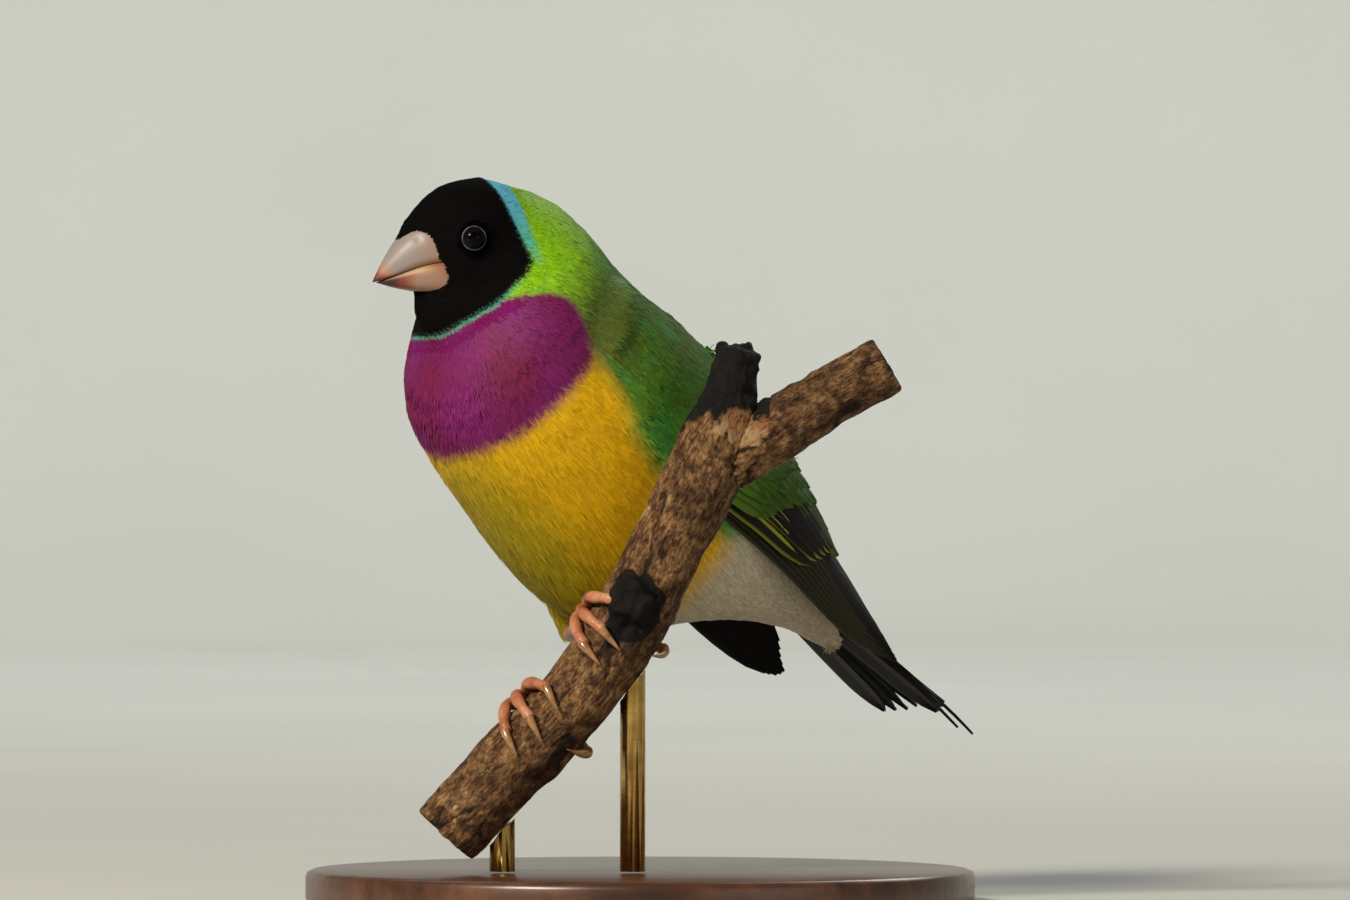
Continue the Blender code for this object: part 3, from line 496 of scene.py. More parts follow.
def coat_finish(name, roughness, gloss, bright=1.0):
    finish = Finish(name, Roughness=roughness, Specular_IOR_Level=gloss)
    shade = finish.ramp(finish.noise(1100.0, 2.0),
                        ((0.3, (0.93 * bright,) * 3), (0.7, (1.05 * bright,) * 3)))
    finish.feed("Base Color", finish.mix(1.0, finish.attribute("plumage"), shade, "MULTIPLY"))
    finish.bump(finish.noise(2600.0, 2.0), 0.35, 0.00012)
    return finish.material


def vane_finish():
    finish = Finish("flight_feather", Roughness=0.5, Specular_IOR_Level=0.12)
    barb = finish.attribute("barb", "Fac")
    wave = finish.node("ShaderNodeMath", {"operation": "SINE"}, [barb])
    height = 0.5 + 0.5 * wave
    shade = finish.ramp(height, ((0.0, (0.72,) * 3), (1.0, (1.16,) * 3)))
    finish.feed("Base Color", finish.mix(1.0, finish.attribute("plumage"), shade, "MULTIPLY"))
    finish.bump(height, 0.5, 0.00006)
    return finish.material


COAT = coat_finish("soft_feather", 0.6, 0.22)
VELVET = coat_finish("velvet_feather", 0.9, 0.05)
SKIN = coat_finish("skin_under_coat", 0.8, 0.1, 0.9)
VANE = vane_finish()
print("feather materials:", [material.name for material in (COAT, VELVET, SKIN, VANE)])

# %% [markdown]
# The skin. Under its feathers a bird is one smooth body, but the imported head, neck and
# torso are parted by thin cuts. They could be bridged by hand, ring by ring. A voxel
# remesh is surer: their copies, with two shoulders and low cushions of feathers on the
# forehead and the chin, become one closed skin that no seam crosses. It is smoothed, most
# of all along the fold under each wing, and drawn in by the coat's depth. A folded wing
# is given by rows: forward place, half width, middle, half height, and the angles of its
# two edges.

# %% One skin under the feathers
COAT_DEPTH, FLESH_GROWTH = 0.55 * MM, 0.25 * MM
SKIN_VOXEL, SKIN_SMOOTHING, FOLD_SMOOTHING = 0.55 * MM, 8, 30
WING_SECTIONS = (
    (-60.0, 8.2, 6.2, 2.6, -10.0, 30.0),
    (-50.0, 10.0, 5.0, 4.6, -9.0, 46.0),
    (-40.0, 12.8, 3.6, 8.2, -7.0, 54.0),
    (-30.0, 15.8, 2.6, 12.6, -6.0, 58.0),
    (-20.0, 18.0, 1.4, 17.0, -6.0, 62.0),
    (-10.0, 19.8, 0.6, 20.2, -9.0, 62.0),
    (0.0, 20.4, 0.4, 21.4, -13.0, 60.0),
    (10.0, 19.8, 0.8, 21.0, -10.0, 56.0),
    (20.0, 18.0, 2.6, 18.6, -1.0, 48.0),
    (27.0, 13.6, 5.0, 15.0, 2.0, 34.0),
)
RIGHT_WING_SPREAD, RIGHT_WING_DROOP = 6.0, 4.8
SHOULDER_FRONT, SHOULDER_REACH, SHOULDER_SLANT = 26.0, 36.0, 14.0
CHIN_CUSHION = (8.3, 0.0, -6.2), (3.4, 2.8, 3.4)
FOREHEAD_CUSHION = (8.0, 0.0, 4.3), (2.7, 2.7, 1.75)
SIDES = (1.0, -1.0)


def wing_point(forward, share, lift, side):
    """A place on a folded wing: share 0 is its lower edge and 1 its upper one."""
    places, *columns = zip(*WING_SECTIONS)
    width, middle, height, low, high = (np.interp(forward, places, column) for column in columns)
    angle = math.radians(low + (high - low) * share)
    across = (width + lift) * math.cos(angle)
    up = middle + (height + lift) * math.sin(angle)
    if side < 0:
        free = min(max((-forward - 8.0) / 45.0, 0.0), 1.0)
        across += RIGHT_WING_SPREAD * free
        up -= RIGHT_WING_DROOP * free * (1.3 - share)
    return on_body(forward, side * across, up)


def there_and_back(u):
    """0 to 1 over the first half of a round, and back to 0 over the second."""
    return 2.0 * u if u < 0.5 else 2.0 - 2.0 * u


def shoulder(side):
    """The cushion of small feathers over the folded wing's front: outside, then inside."""
    def form(u, v):
        u = u % 1.0
        turn = there_and_back(u)
        forward = SHOULDER_FRONT - (SHOULDER_REACH + SHOULDER_SLANT * turn) * v
        swell = math.sin(math.pi * min(0.16 + 0.84 * v, 1.0) ** 0.8) ** 0.5
        crown = math.sin(math.pi * (0.08 + 0.84 * turn)) ** 0.5
        if u <= 0.5:
            return wing_point(forward, turn, 0.8 * crown * swell - 0.4, side)
        return wing_point(forward, turn, -0.1 - 3.4 * min(8 * (u - 0.5), 8 * (1 - u), 1), side)

    obj = shaped_grid("shoulder", 34, 26, form)
    cleaned(obj, 0.05, close=True)
    return obj


def head_cushion(centre, radii):
    """A soft swelling of small feathers, given in the head's frame."""
    obj = primitive("cushion", bpy.ops.mesh.primitive_uv_sphere_add, segments=24,
                    ring_count=16, radius=1.0)
    for vert in obj.data.vertices:
        vert.co = on_head(*(centre + np.array(vert.co) * radii))
    return obj


def smooth_folds(obj):
    """Evens out the step under each wing, where the shoulder ends."""
    ahead, left, up = in_body(vertex_rows(obj)).T
    near = (np.abs(ahead + 2.0) < 19.0) & (np.abs(left) > 9.0) & (np.abs(up + 3.5) < 6.5)
    group = obj.vertex_groups.new(name="fold")
    group.add([int(index) for index in np.nonzero(near)[0]], 1.0, "REPLACE")
    applied(obj, "SMOOTH", factor=0.6, iterations=FOLD_SMOOTHING, vertex_group="fold")


def painted(obj):
    """A feathered surface with the plumage's colours on it."""
    add_colours(obj.data, plumage(vertex_rows(obj)))
    return covered(obj, SKIN)


FLESH = ("head", "neck", "torso")
skin = cad_copy("flesh", FLESH)
applied(skin, "DISPLACE", strength=FLESH_GROWTH, mid_level=0.0)
skin = joined("skin", [skin, shoulder(1.0), shoulder(-1.0), head_cushion(*CHIN_CUSHION),
                       head_cushion(*FOREHEAD_CUSHION)])
remeshed(skin, SKIN_VOXEL, SKIN_SMOOTHING)
smooth_folds(skin)
applied(skin, "DISPLACE", strength=-COAT_DEPTH, mid_level=0.0)
painted(skin)
print("skin faces:", len(skin.data.polygons))

# %% [markdown]
# The coat. Small feathers could be painted on the skin, but then the outline stays bare,
# or grown as hair, which is no mesh. Here each is a narrow blade of five triangles with a
# raised middle, rooted in the skin and lying back along the body. Its size changes over the
# bird: short and fine on the face, longer on the belly, broad on the back. Thousands of
# them overlap, so they are written in bulk, and each takes the colours of its place.

# %% The lie and size of the small feathers
ROOT_DEPTH = 0.25 * MM
BLADE = np.array(((0, 3, 1), (0, 2, 3), (1, 3, 4), (2, 5, 3), (3, 5, 4)))
BLADE_MAP = np.array(((-1, -1), (1, -1), (-1, 0), (0, 0), (1, 0), (0, 1))) * 0.0014
BLADE_LEAN = np.array((-0.55, 0.55, -0.5, 0.0, 0.5, 0.0))[:, None] * 0.55
LENGTHS, WIDTHS, SHADES = (0.75, 1.2), (0.8, 1.2), (0.8, 1.18)


def surface_spots(obj, count, draw, weight=None):
    """Random places on a mesh with their normals, spread evenly by area."""
    mesh = obj.data
    mesh.calc_loop_triangles()
    corners = np.empty(len(mesh.loop_triangles) * 3, dtype=np.int64)
    mesh.loop_triangles.foreach_get("vertices", corners)
    corners = corners.reshape(-1, 3)
    spots, normals = vertex_rows(obj), vertex_rows(obj, "normal")
    a, b, c = (spots[corners[:, k]] for k in range(3))
    area = np.linalg.norm(np.cross(b - a, c - a), axis=1)
    if weight is not None:
        area = area * weight((a + b + c) / 3.0)
    picks = draw.choice(len(area), size=count, p=area / area.sum())
    u, v = draw.random(count), draw.random(count)
    flip = u + v > 1.0
    u[flip], v[flip] = 1.0 - u[flip], 1.0 - v[flip]
    share = (1.0 - u - v, u, v)
    place, normal = (sum(share[k][:, None] * rows[corners[picks, k]] for k in range(3))
                     for rows in (spots, normals))
    return place, unit(normal)


def lie_of_coat(points, normals, draw):
    """The way the feathers point: back from the bill, then down and back to the tail."""
    body, head = in_body(points), in_head(points)
    on_face = climb(head[:, 0], -9.0, 8.0) * climb(head[:, 2], -14.0, 8.0)
    droop = climb(-body[:, 2], 4.0, 18.0)[:, None]
    from_bill = unit(points - on_head(13.0, 0.0, 0.0))
    back = unit(-BODY[0] + 0.25 * droop * np.array((0.0, 0.0, -1.0)))
    way = blend(back, from_bill, on_face) + draw.normal(0.0, 0.07, (len(points), 3))
    return unit(way - normals * np.sum(way * normals, axis=1)[:, None])


def feather_size(points):
    """Length and width in mm: fine on the face, longest on belly and back."""
    head, body = in_head(points), in_body(points)
    reach = np.linalg.norm(head * (1.0, 1.1, 1.0), axis=1)
    away = climb(reach, 9.0, 9.0)
    belly = climb(-body[:, 2], 2.0, 12.0) * climb(-body[:, 0], -22.0, 6.0)
    muzzle = climb(head[:, 0], 5.0, 5.0) * climb(head[:, 2], -10.0, 4.0)
    length = 0.95 + 2.05 * away + 1.5 * belly
    width = 0.26 + 0.20 * away - 0.12 * belly
    return length * (1.0 - 0.45 * muzzle), width * (1.0 - 0.3 * muzzle)


print("longest and widest small feather in mm:", [values.max().round(2) for values
                                                  in feather_size(vertex_rows(skin))])


def unwrap_of(points):
    """A place on a flat unwrap of the skin: along the trunk, and round it."""
    body = in_body(points)
    turn = np.arctan2(body[:, 1], body[:, 2] - 2.0) / (2.0 * math.pi) + 0.5
    along = climb(body[:, 0], -62.0, 116.0)
    return 0.02 + 0.95 * np.stack((along, turn), axis=1)


def mottled(colours, draw):
    """Tints the green feathers one by one, as the back's many shades of green."""
    count = len(colours)
    tints = np.array((EMERALD, MOSS, OLIVE, LIME * 0.7, LEAF * 0.5))
    tint = tints[draw.integers(0, len(tints), count)][:, None]
    share = (draw.random(count) ** 1.6 * 0.6)[:, None]
    red, green, blue = (colours[..., k] for k in range(3))
    return blend(colours, tint, share * climb(green, np.maximum(red * 0.9, blue), 0.08))


def coat_piece(name, source, count, seed, material, weight=None, scale=(1.0, 1.0), lift=0.055):
    """A piece of coat: count small feathers over one part of the skin."""
    draw = np.random.default_rng(SEED + seed)
    root, normal = surface_spots(source, count, draw, weight)
    way = lie_of_coat(root, normal, draw)
    side = np.cross(normal, way)
    length, width = feather_size(root)
    length = (length * MM * scale[0] * draw.uniform(*LENGTHS, count))[:, None]
    width = (width * MM * scale[1] * draw.uniform(*WIDTHS, count))[:, None]
    rise = (lift + draw.normal(0.0, 0.3 * lift, count))[:, None]
    foot = root - normal * ROOT_DEPTH
    middle = root + way * length * 0.55 + normal * (rise * length * 0.6 + 0.05 * MM)
    tip = root + way * length + normal * (rise * length * 0.7)
    rows = [foot - side * width * 0.4, foot + side * width * 0.4, middle - side * width * 0.5,
            middle + normal * width * 0.16, middle + side * width * 0.5, tip]
    verts = np.stack(rows, axis=1).reshape(-1, 3)
    faces = (np.arange(count) * len(rows))[:, None, None] + BLADE
    wander = np.repeat(draw.normal(0.0, 0.12, count), len(rows))
    shade = draw.uniform(*SHADES, count)[:, None, None]
    colours = mottled(plumage(verts, wander).reshape(count, len(rows), 3) * shade, draw)
    colours[:, 5] *= 1.1
    colours[:, :2] *= 0.9
    unwrap = (unwrap_of(root)[:, None] + BLADE_MAP).reshape(-1, 2)
    obj = bulk_mesh(name, verts, faces.reshape(-1, 3), colours.reshape(-1, 3), unwrap)
    soft = normal[:, None] + side[:, None] * BLADE_LEAN + way[:, None] * 0.08
    obj.data.normals_split_custom_set_from_vertices(unit(soft.reshape(-1, 3)))
    obj.data.materials.append(material)
    print(name, "small feathers:", count, "triangles:", len(obj.data.polygons))
    return obj


# %% [markdown]
# The coat is laid in pieces so that none grows too heavy: the face, the neck and breast,
# the belly, and the back with the shoulders. Feathers keep clear of the eyes.

# %% Lay the coat
EYE_PLACE = (1.7, 7.75, 1.6)
EYE_CLEARANCE = 2.15


def eye_centre(side, further_out=0.0):
    return on_head(EYE_PLACE[0], side * (EYE_PLACE[1] + further_out), EYE_PLACE[2])


def region(kind):
    """1 where this piece's feathers grow and 0 elsewhere and on the eyes."""
    def weight(points):
        body, head = in_body(points), in_head(points)
        face = (head[:, 2] > read_curve(MASK_LOW, head[:, 0]) - 1.2) & (head[:, 0] > -8.0)
        behind = ~face & (body[:, 0] <= 17.0)
        low = body[:, 2] < read_curve(FLANK_TOP, body[:, 0]) + 1.5
        masks = {"face": face, "breast": ~face & ~behind, "belly": behind & low,
                 "back": behind & ~low}
        grows = masks[kind].astype(float)
        for side in SIDES:
            reach = np.linalg.norm(points - eye_centre(side, 0.9), axis=1)
            grows[reach < EYE_CLEARANCE * MM] = 0.0
        return grows
    return weight


DENSITY = 1.0
COATS = (("face", 36000, VELVET), ("breast", 38000, COAT), ("belly", 38000, COAT),
         ("back", 38000, COAT))
coat = [coat_piece("coat_" + kind, skin, int(count * DENSITY), seed, material, region(kind))
        for seed, (kind, count, material) in enumerate(COATS, 1)]

# %% [markdown]
# Flight feathers. A folded wing is a fan of long vanes, each lying a little over the
# next: nine primaries whose tips pass the rump, the secondaries with their yellow-green
# edges, three broad tertials and four tiers of coverts. Each could be a flat card with a
# picture of a feather, but real vanes cast real steps of shadow. One function lays a vane
# along a line: it tapers, arches over its shaft, and has an outer edge of its own colour.

# %% One feather's vane
VANE_ROWS, VANE_COLUMNS = 16, 9
VANE_SIZE = VANE_ROWS * VANE_COLUMNS
VANE_TAPER_FROM = 0.72
SHAFT_RIDGE, SHAFT_HALF, SHAFT_TINT_HALF = 0.10, 0.16, 0.09
EDGE_BORDER = 0.25
BARBS_ALONG, BARBS_ACROSS = 330.0, 60.0
PATCHES_IN_ROW, PATCH_SPACING, ROW_SPACING, MAP_MARGIN = 52, 0.0188, 0.325, 0.01
PATCH_WIDE, PATCH_LONG, PATCH_STEP = 0.016, 0.15, 0.16


def vane_quads():
    """The faces of one closed vane: its upper side, its lower side and the rim."""
    cols, last = VANE_COLUMNS, VANE_ROWS - 1
    faces = []
    for a in (i * cols + k for i in range(last) for k in range(cols - 1)):
        faces.append((a, a + 1, a + 1 + cols, a + cols))
        faces.append(tuple(VANE_SIZE + b for b in (a, a + cols, a + 1 + cols, a + 1)))
    rim = [*range(cols), *range(2 * cols - 1, VANE_SIZE, cols),
           *range(VANE_SIZE - 2, last * cols - 1, -1), *range((last - 1) * cols, 0, -cols)]
    faces += [(b, a, VANE_SIZE + a, VANE_SIZE + b) for a, b in zip(rim, rim[1:] + rim[:1])]
    return np.array(faces)


VANE_QUADS = vane_quads()
print("faces of one vane:", len(VANE_QUADS))


def vane(line, normals, half_width, tip_share, edge, middle, shaft, index, thickness=0.16,
         outer_side=1.0, edge_start=0.45, narrowing=0.0):
    """Points, colours, barb values and map places of one closed vane; widths in mm."""
    along = np.linspace(0.0, 1.0, VANE_ROWS)
    spine, face = read_rows(line, along), read_rows(normals, along)
    run = unit(np.gradient(spine, axis=0))
    across = unit(np.cross(face, run))
    face = np.cross(run, across)
    width = 0.72 + 0.28 * np.sin(np.minimum(along * 1.6, 1.0) * math.pi / 2)
    late = climb(along, VANE_TAPER_FROM, 1.0 - VANE_TAPER_FROM)
    width = width * (1.0 - (1.0 - tip_share) * late ** 2) * np.sqrt(1.0 - 0.985 * late ** 3)
    width = width * (1.0 - narrowing * along ** 1.5) * half_width * MM
    t = np.linspace(-1.0, 1.0, VANE_COLUMNS)
    height = (SHAFT_RIDGE * np.exp(-(t / SHAFT_HALF) ** 2) - 0.09 * half_width * t ** 2) * MM
    top = (spine[:, None] + across[:, None] * (width[:, None] * t)[..., None]
           + face[:, None] * height[:, None])
    low = top - face[:, None] * thickness * MM
    points = np.concatenate((top.reshape(-1, 3), low.reshape(-1, 3)))
    grid_t, grid_s = np.tile(t, VANE_ROWS), np.repeat(along, VANE_COLUMNS)
    colour = blend(middle, edge, climb(grid_t * outer_side, edge_start, EDGE_BORDER))
    colour = blend(colour, shaft, np.exp(-(grid_t / SHAFT_TINT_HALF) ** 2))
    barb = grid_s * BARBS_ALONG + np.abs(grid_t) * BARBS_ACROSS
    start_u = MAP_MARGIN + PATCH_SPACING * (index % PATCHES_IN_ROW)
    start_v = MAP_MARGIN + ROW_SPACING * (index // PATCHES_IN_ROW)
    uv = np.stack((start_u + PATCH_WIDE * (grid_t * 0.5 + 0.5), start_v + PATCH_LONG * grid_s), axis=1)
    # The lower side gets the same colours at 0.6: painted shade on the feather's underside.
    return (points, np.concatenate((colour, colour * 0.6)), np.tile(barb, 2),
            np.concatenate((uv, uv + (0.0, PATCH_STEP))))


def vane_piece(name, vanes):
    """Joins vanes into one mesh with colours, barb lines and the bake's own map."""
    points, colours, barbs, uvs = (np.concatenate(rows) for rows in zip(*vanes))
    faces = np.concatenate([VANE_QUADS + 2 * VANE_SIZE * k for k in range(len(vanes))])
    obj = bulk_mesh(name, points, faces, colours, uvs)
    add_layer(obj, "barb", barbs)
    obj.data.materials.append(VANE)
    print(name, "vanes:", len(vanes), "faces:", len(faces))
    return obj


EDGE_YELLOW = linear(172, 178, 52)
EDGE_PALE = linear(74, 68, 48)
EDGE_GREEN = linear(104, 146, 44)
DARK_VANE = linear(27, 21, 18)
WING_GREEN = linear(78, 104, 34)
SHAFT = linear(24, 17, 12)

# %% [markdown]
# The wings. Every feather is given by where it roots and where its tip lies on the folded
# wing: how far forward along the trunk, and how far up between the wing's two edges.
# Later tiers are laid slightly higher, as they are on the bird. The primaries' tips have
# a row for each wing: how far back the longest reaches, which one that is, how fast the
# others fall short of it, and how wide the tip is.

# %% Lay the wings
PRIMARIES, SECONDARIES, TERTIALS, COVERTS_IN_TIER = 9, 7, 3, 22
FIRST_LIFT, STEP_UP, TERTIAL_STEP_UP = -1.1, 0.1, 0.12
PRIMARY_TIPS = {1.0: (-56.2, 1.5, 1.3, 0.5), -1.0: (-54.2, 2.2, 1.1, 0.65)}
COVERT_TIERS = (-29.5, -26.5, -23.5, -20.5)
WING_STEPS = np.linspace(0.0, 1.0, 9)


def wing(name, side):
    draw = np.random.default_rng(SEED + 20 + int(side))
    vanes = []

    def add(root, tip, half_width, lift, tip_share, edge, middle, sink, edge_start=0.72):
        """One vane from root to tip, each a forward place and a share of the wing's height."""
        line, normals = [], []
        for share in WING_STEPS:
            forward = root[0] + (tip[0] - root[0]) * share
            across = root[1] + (tip[1] - root[1]) * share
            height = lift - sink * (1.0 - share) ** 1.5
            line.append(wing_point(forward, across, height, side))
            normals.append(unit(wing_point(forward, across, height + 1.0, side) - line[-1]))
        shade = draw.uniform(0.88, 1.12)
        vanes.append(vane(line, normals, half_width, tip_share, edge * shade, middle * shade,
                          middle * 0.5, len(vanes), outer_side=-side, edge_start=edge_start))

    lift = FIRST_LIFT
    reach, longest, step, tip_share = PRIMARY_TIPS[side]
    for share in np.linspace(0.0, 1.0, PRIMARIES):
        tip = (reach + step * abs(5.0 * share - longest) ** 1.25 + draw.uniform(-0.2, 0.2),
               0.11 + 0.62 * share)
        add((-4.0 + 1.5 * share, 0.08 + 0.30 * share), tip, 2.2, lift, tip_share,
            EDGE_PALE, DARK_VANE, 1.8)
        lift += STEP_UP
    for share in np.linspace(0.0, 1.0, SECONDARIES):
        tip = (-31.0 - 3.0 * share + draw.uniform(-0.4, 0.4), 0.18 + 0.54 * share)
        add((2.0, 0.12 + 0.48 * share), tip, 2.3, lift, 0.6, EDGE_YELLOW, DARK_VANE * 1.3, 2.2,
            0.5 if share > 0.0 else 0.8)
        lift += STEP_UP
    for share in np.linspace(0.0, 1.0, TERTIALS):
        tip = (-36.0 + 8.0 * share + draw.uniform(-0.4, 0.4), 0.70 + 0.16 * share)
        add((4.0, 0.62 + 0.26 * share), tip, 3.3, lift, 0.55, EDGE_GREEN, WING_GREEN * 0.75, 2.4)
        lift += TERTIAL_STEP_UP
    for tier, back in enumerate(COVERT_TIERS):
        for i in range(COVERTS_IN_TIER):
            share = 0.13 + 0.79 * (i + 0.5 * (tier % 2)) / COVERTS_IN_TIER
            if share < 0.2 * tier:
                continue
            end = back + 15.0 * (1.0 - share) ** 1.3 + draw.uniform(-0.9, 0.9)
            tip = (end, share + draw.uniform(-0.02, 0.02))
            spot = wing_point(end + 5.0, 0.3 + 0.7 * share, 1.0, side)
            tint = plumage(spot[None])[0] * draw.uniform(0.8, 1.15)
            green = WING_GREEN * (0.7 - 0.2 * tier) + tint * (0.3 + 0.2 * tier)
            add((end + 8.5, share), tip, 1.25, 0.95 + 0.04 * tier, 0.3, green * 1.15,
                green * 0.9, 2.1)
    return vane_piece(name, vanes)


wings = [wing("wing_feathers_left", 1.0), wing("wing_feathers_right", -1.0)]

# %% [markdown]
# The tail. Twelve vanes lie in two stepped halves, the outer ones lowest and shortest,
# and the middle pair draws out into two bare pins. Small coverts close it above, pale
# blue, and below, white. They are laid by the wings' function, so that both match.

# %% Lay the tail
TAIL_ROOT = np.array((-40.0, 0.0, 6.0))
TAIL_LENGTH, TAIL_RISE = 31.0, math.radians(5.5)
PIN_REACH, PIN_OVERLAP = {1.0: 7.5, -1.0: 5.4}, 5.0
TAIL_STEPS = np.linspace(0.0, 1.0, 7)
TAIL_BLACK = linear(34, 26, 24)


def tail_vane(root, length, turn, rise, half_width, tip_share, edge, middle, index,
              narrowing=0.0):
    way = np.array((-math.cos(turn) * math.cos(rise), math.sin(turn), math.sin(rise)))
    line = [on_body(*(root + way * length * share)) for share in TAIL_STEPS]
    return vane(line, [BODY[2]] * len(line), half_width, tip_share, edge, middle, SHAFT, index,
                narrowing=narrowing)


def pin(root, side, index):
    """The bare drawn-out end of a middle feather."""
    back, up = -math.cos(TAIL_RISE), math.sin(TAIL_RISE)
    start = root + np.array((back, 0.0, up)) * (TAIL_LENGTH - PIN_OVERLAP)
    start[1] = side * 0.5
    way = np.array((back, side * 0.05, up)) * (PIN_REACH[side] + PIN_OVERLAP)
    line = [on_body(*(start + way * share - (0.0, side * 0.5 * share ** 2, 0.9 * share ** 2)))
            for share in TAIL_STEPS]
    return vane(line, [BODY[2]] * len(line), 0.42, 0.2, TAIL_BLACK, TAIL_BLACK, SHAFT, index,
                0.25, narrowing=0.7)


def tail():
    draw = np.random.default_rng(SEED + 30)
    vanes = []
    for share in np.linspace(0.0, 1.0, 5):
        for side in SIDES:
            root = TAIL_ROOT + (0.0, side * (2.8 - 1.8 * share), -2.0 * (1 - share) + 0.3
                                + 0.12 * side)
            length = TAIL_LENGTH * (0.90 + 0.09 * share) + draw.uniform(-0.3, 0.3)
            turn = side * math.radians(7.0 - 5.5 * share)
            rise = TAIL_RISE - math.radians(2.9) * (1.0 - share)
            vanes.append(tail_vane(root, length, turn, rise, 2.8, 0.6 - 0.35 * share,
                                   TAIL_BLACK * 1.5, TAIL_BLACK, len(vanes), 0.85 * share))
    for side in SIDES:
        root = TAIL_ROOT + (0.0, side * 0.9, 0.75 + 0.12 * side)
        vanes.append(tail_vane(root, TAIL_LENGTH, side * math.radians(0.4), TAIL_RISE, 1.9, 0.15,
                               TAIL_BLACK, TAIL_BLACK, len(vanes), 0.9))
        vanes.append(pin(root, side, len(vanes)))
    for share in np.linspace(-0.5, 0.5, 9):
        turn = math.radians(9.0 * share)
        over = TAIL_ROOT + (2.0, share * 6.0, 2.1 - 2.4 * share * share)
        vanes.append(tail_vane(over, 14.0 + draw.uniform(-1, 1), turn, TAIL_RISE - 0.05, 1.8, 0.5,
                               RUMP_BLUE * 0.8, RUMP_BLUE * 0.6, len(vanes)))
        # The undertail coverts are cream darkened to 0.75 and 0.6: painted shade on white feathers
        # under the tail.
        under = TAIL_ROOT + (3.0, share * 6.4, -2.6 + 2.0 * share * share)
        vanes.append(tail_vane(under, 20.0 + draw.uniform(-2, 1), turn, TAIL_RISE + 0.07, 1.7, 0.5,
                               CREAM * 0.75, CREAM * 0.6, len(vanes)))
    return vane_piece("tail_feathers", vanes)


tail_piece = tail()

# %% [markdown]
# The bill. Two halves meet along the line of the mouth. Each could be extruded from a
# ring of edges, but its two arcs are easier to hold as a formula, so it is a grid bent
# into a half cone: the upper with the arched culmen, the lower flatter. The horn is pearly
# and warm, yellowish where the mouth opens and dark red-brown at the tip, and the nostrils
# are two small pits at the feathers' edge.

# %% Model the bill
BILL_ROOT, BILL_TIP = 4.4, (15.6, 0.2)
BILL_HALF_WIDTH, CULMEN_RISE, BILL_DROP, GAPE_DROP = 5.05, 6.15, 5.45, 0.9
BILL_BOXINESS = (0.48, 0.75)
NOSTRIL, NOSTRIL_REACH = (8.0, 3.2, 3.9), 0.7


def bill_form(upper):
    def form(u, v):
        share = 1.0 - (1.0 - v) ** 1.3
        forward = BILL_ROOT + (BILL_TIP[0] - BILL_ROOT) * share
        full = max(1.0 - share ** 1.5, 0.0) ** 0.95
        width = BILL_HALF_WIDTH * full + 0.05
        gape = -GAPE_DROP * (1.0 - share) ** 1.5 + BILL_TIP[1] * share
        gape += 0.9 * math.sin(math.pi * share) * (1.0 - share)
        sign, reach = 1.0, CULMEN_RISE * (1.0 - share ** 1.7) + 0.12
        if not upper:
            sign, reach = -1.0, BILL_DROP * (1.0 - share ** 1.45) + 0.05
            width *= 1.04
            forward -= 0.5 * share
        angle = math.pi * there_and_back(u)
        rise = math.sin(angle) ** BILL_BOXINESS[upper] if u < 0.5 else 0.0
        across = math.copysign(abs(math.cos(angle)) ** BILL_BOXINESS[upper], math.cos(angle))
        return on_head(forward, width * across, gape + sign * (0.07 + reach * rise))
    return form


def bill_finish():
    finish = Finish("bill_horn", Roughness=0.46, Coat_Weight=0.05, Coat_Roughness=0.35,
                    Subsurface_Weight=0.12, Subsurface_Scale=0.002)
    flecks = finish.noise(330.0, 4.0) * 0.5
    colour = finish.ramp(finish.attribute("warmth", "Fac") + flecks - 0.25, (
        (0.0, linear(146, 137, 131)), (0.35, linear(166, 126, 103)),
        (0.68, linear(136, 64, 42)), (1.0, linear(62, 21, 13))))
    yellow = finish.attribute("gape", "Fac")
    finish.feed("Base Color", finish.mix(yellow, colour, linear(176, 146, 78)))
    finish.bump(finish.noise(900.0, 3.0), 0.25, 0.00008)
    return finish.material


def bill_half(name, upper):
    obj = shaped_grid(name, 48, 30, bill_form(upper))
    cleaned(obj, 0.02, close=True)
    tip_from, tip_reach, below = (12.4, 3.2, 0.0) if upper else (9.4, 5.0, 0.26)
    warmth, gape = [], []
    for vert in obj.data.vertices:
        forward, left, up = in_head(np.array(vert.co))
        tip = max((forward - tip_from) / tip_reach, 0.0) ** 1.2
        mouth = math.exp(-((up - 0.2) / 0.55) ** 2) * 0.34
        root = max((9.4 - forward) / 5.0, 0.0) * (0.3 if up < 3.5 else 0.09)
        warmth.append(min(tip + mouth + below + root, 1.0))
        streak = 0.75 * math.exp(-((up - 0.1) / 0.5) ** 2 - ((forward - 9.6) / 2.4) ** 2)
        gape.append(0.0 if upper else streak)
        pit = math.dist((forward, abs(left), up), NOSTRIL)
        if upper and pit < NOSTRIL_REACH:
            vert.co -= vert.normal * (NOSTRIL_REACH - pit) * 0.6 * MM
    add_layer(obj, "warmth", warmth)
    add_layer(obj, "gape", gape)
    return covered(obj, BILL_HORN)


BILL_HORN = bill_finish()
bill = [bill_half("bill_upper_horn", True), bill_half("bill_lower_horn", False)]
print("bill halves:", [len(piece.data.polygons) for piece in bill])

# %% [markdown]
# The eyes. Each is a wet, nearly black ball: the iris is dark brown and the pupil black.
# A thin ring of dark blue-grey bare skin, beaded with tiny scales, goes round it.

# %% Eyes and their rings
EYE_RADIUS, IRIS_RADIUS, EYE_BULGE = 1.85, 1.72, 1.05
RING_RADIUS, RING_TUBE, RING_RISE, RING_BEADS = 1.68, 0.11, 0.86, 40.0
RING_SLOPE, RING_LEVEL = 0.35, 1.66


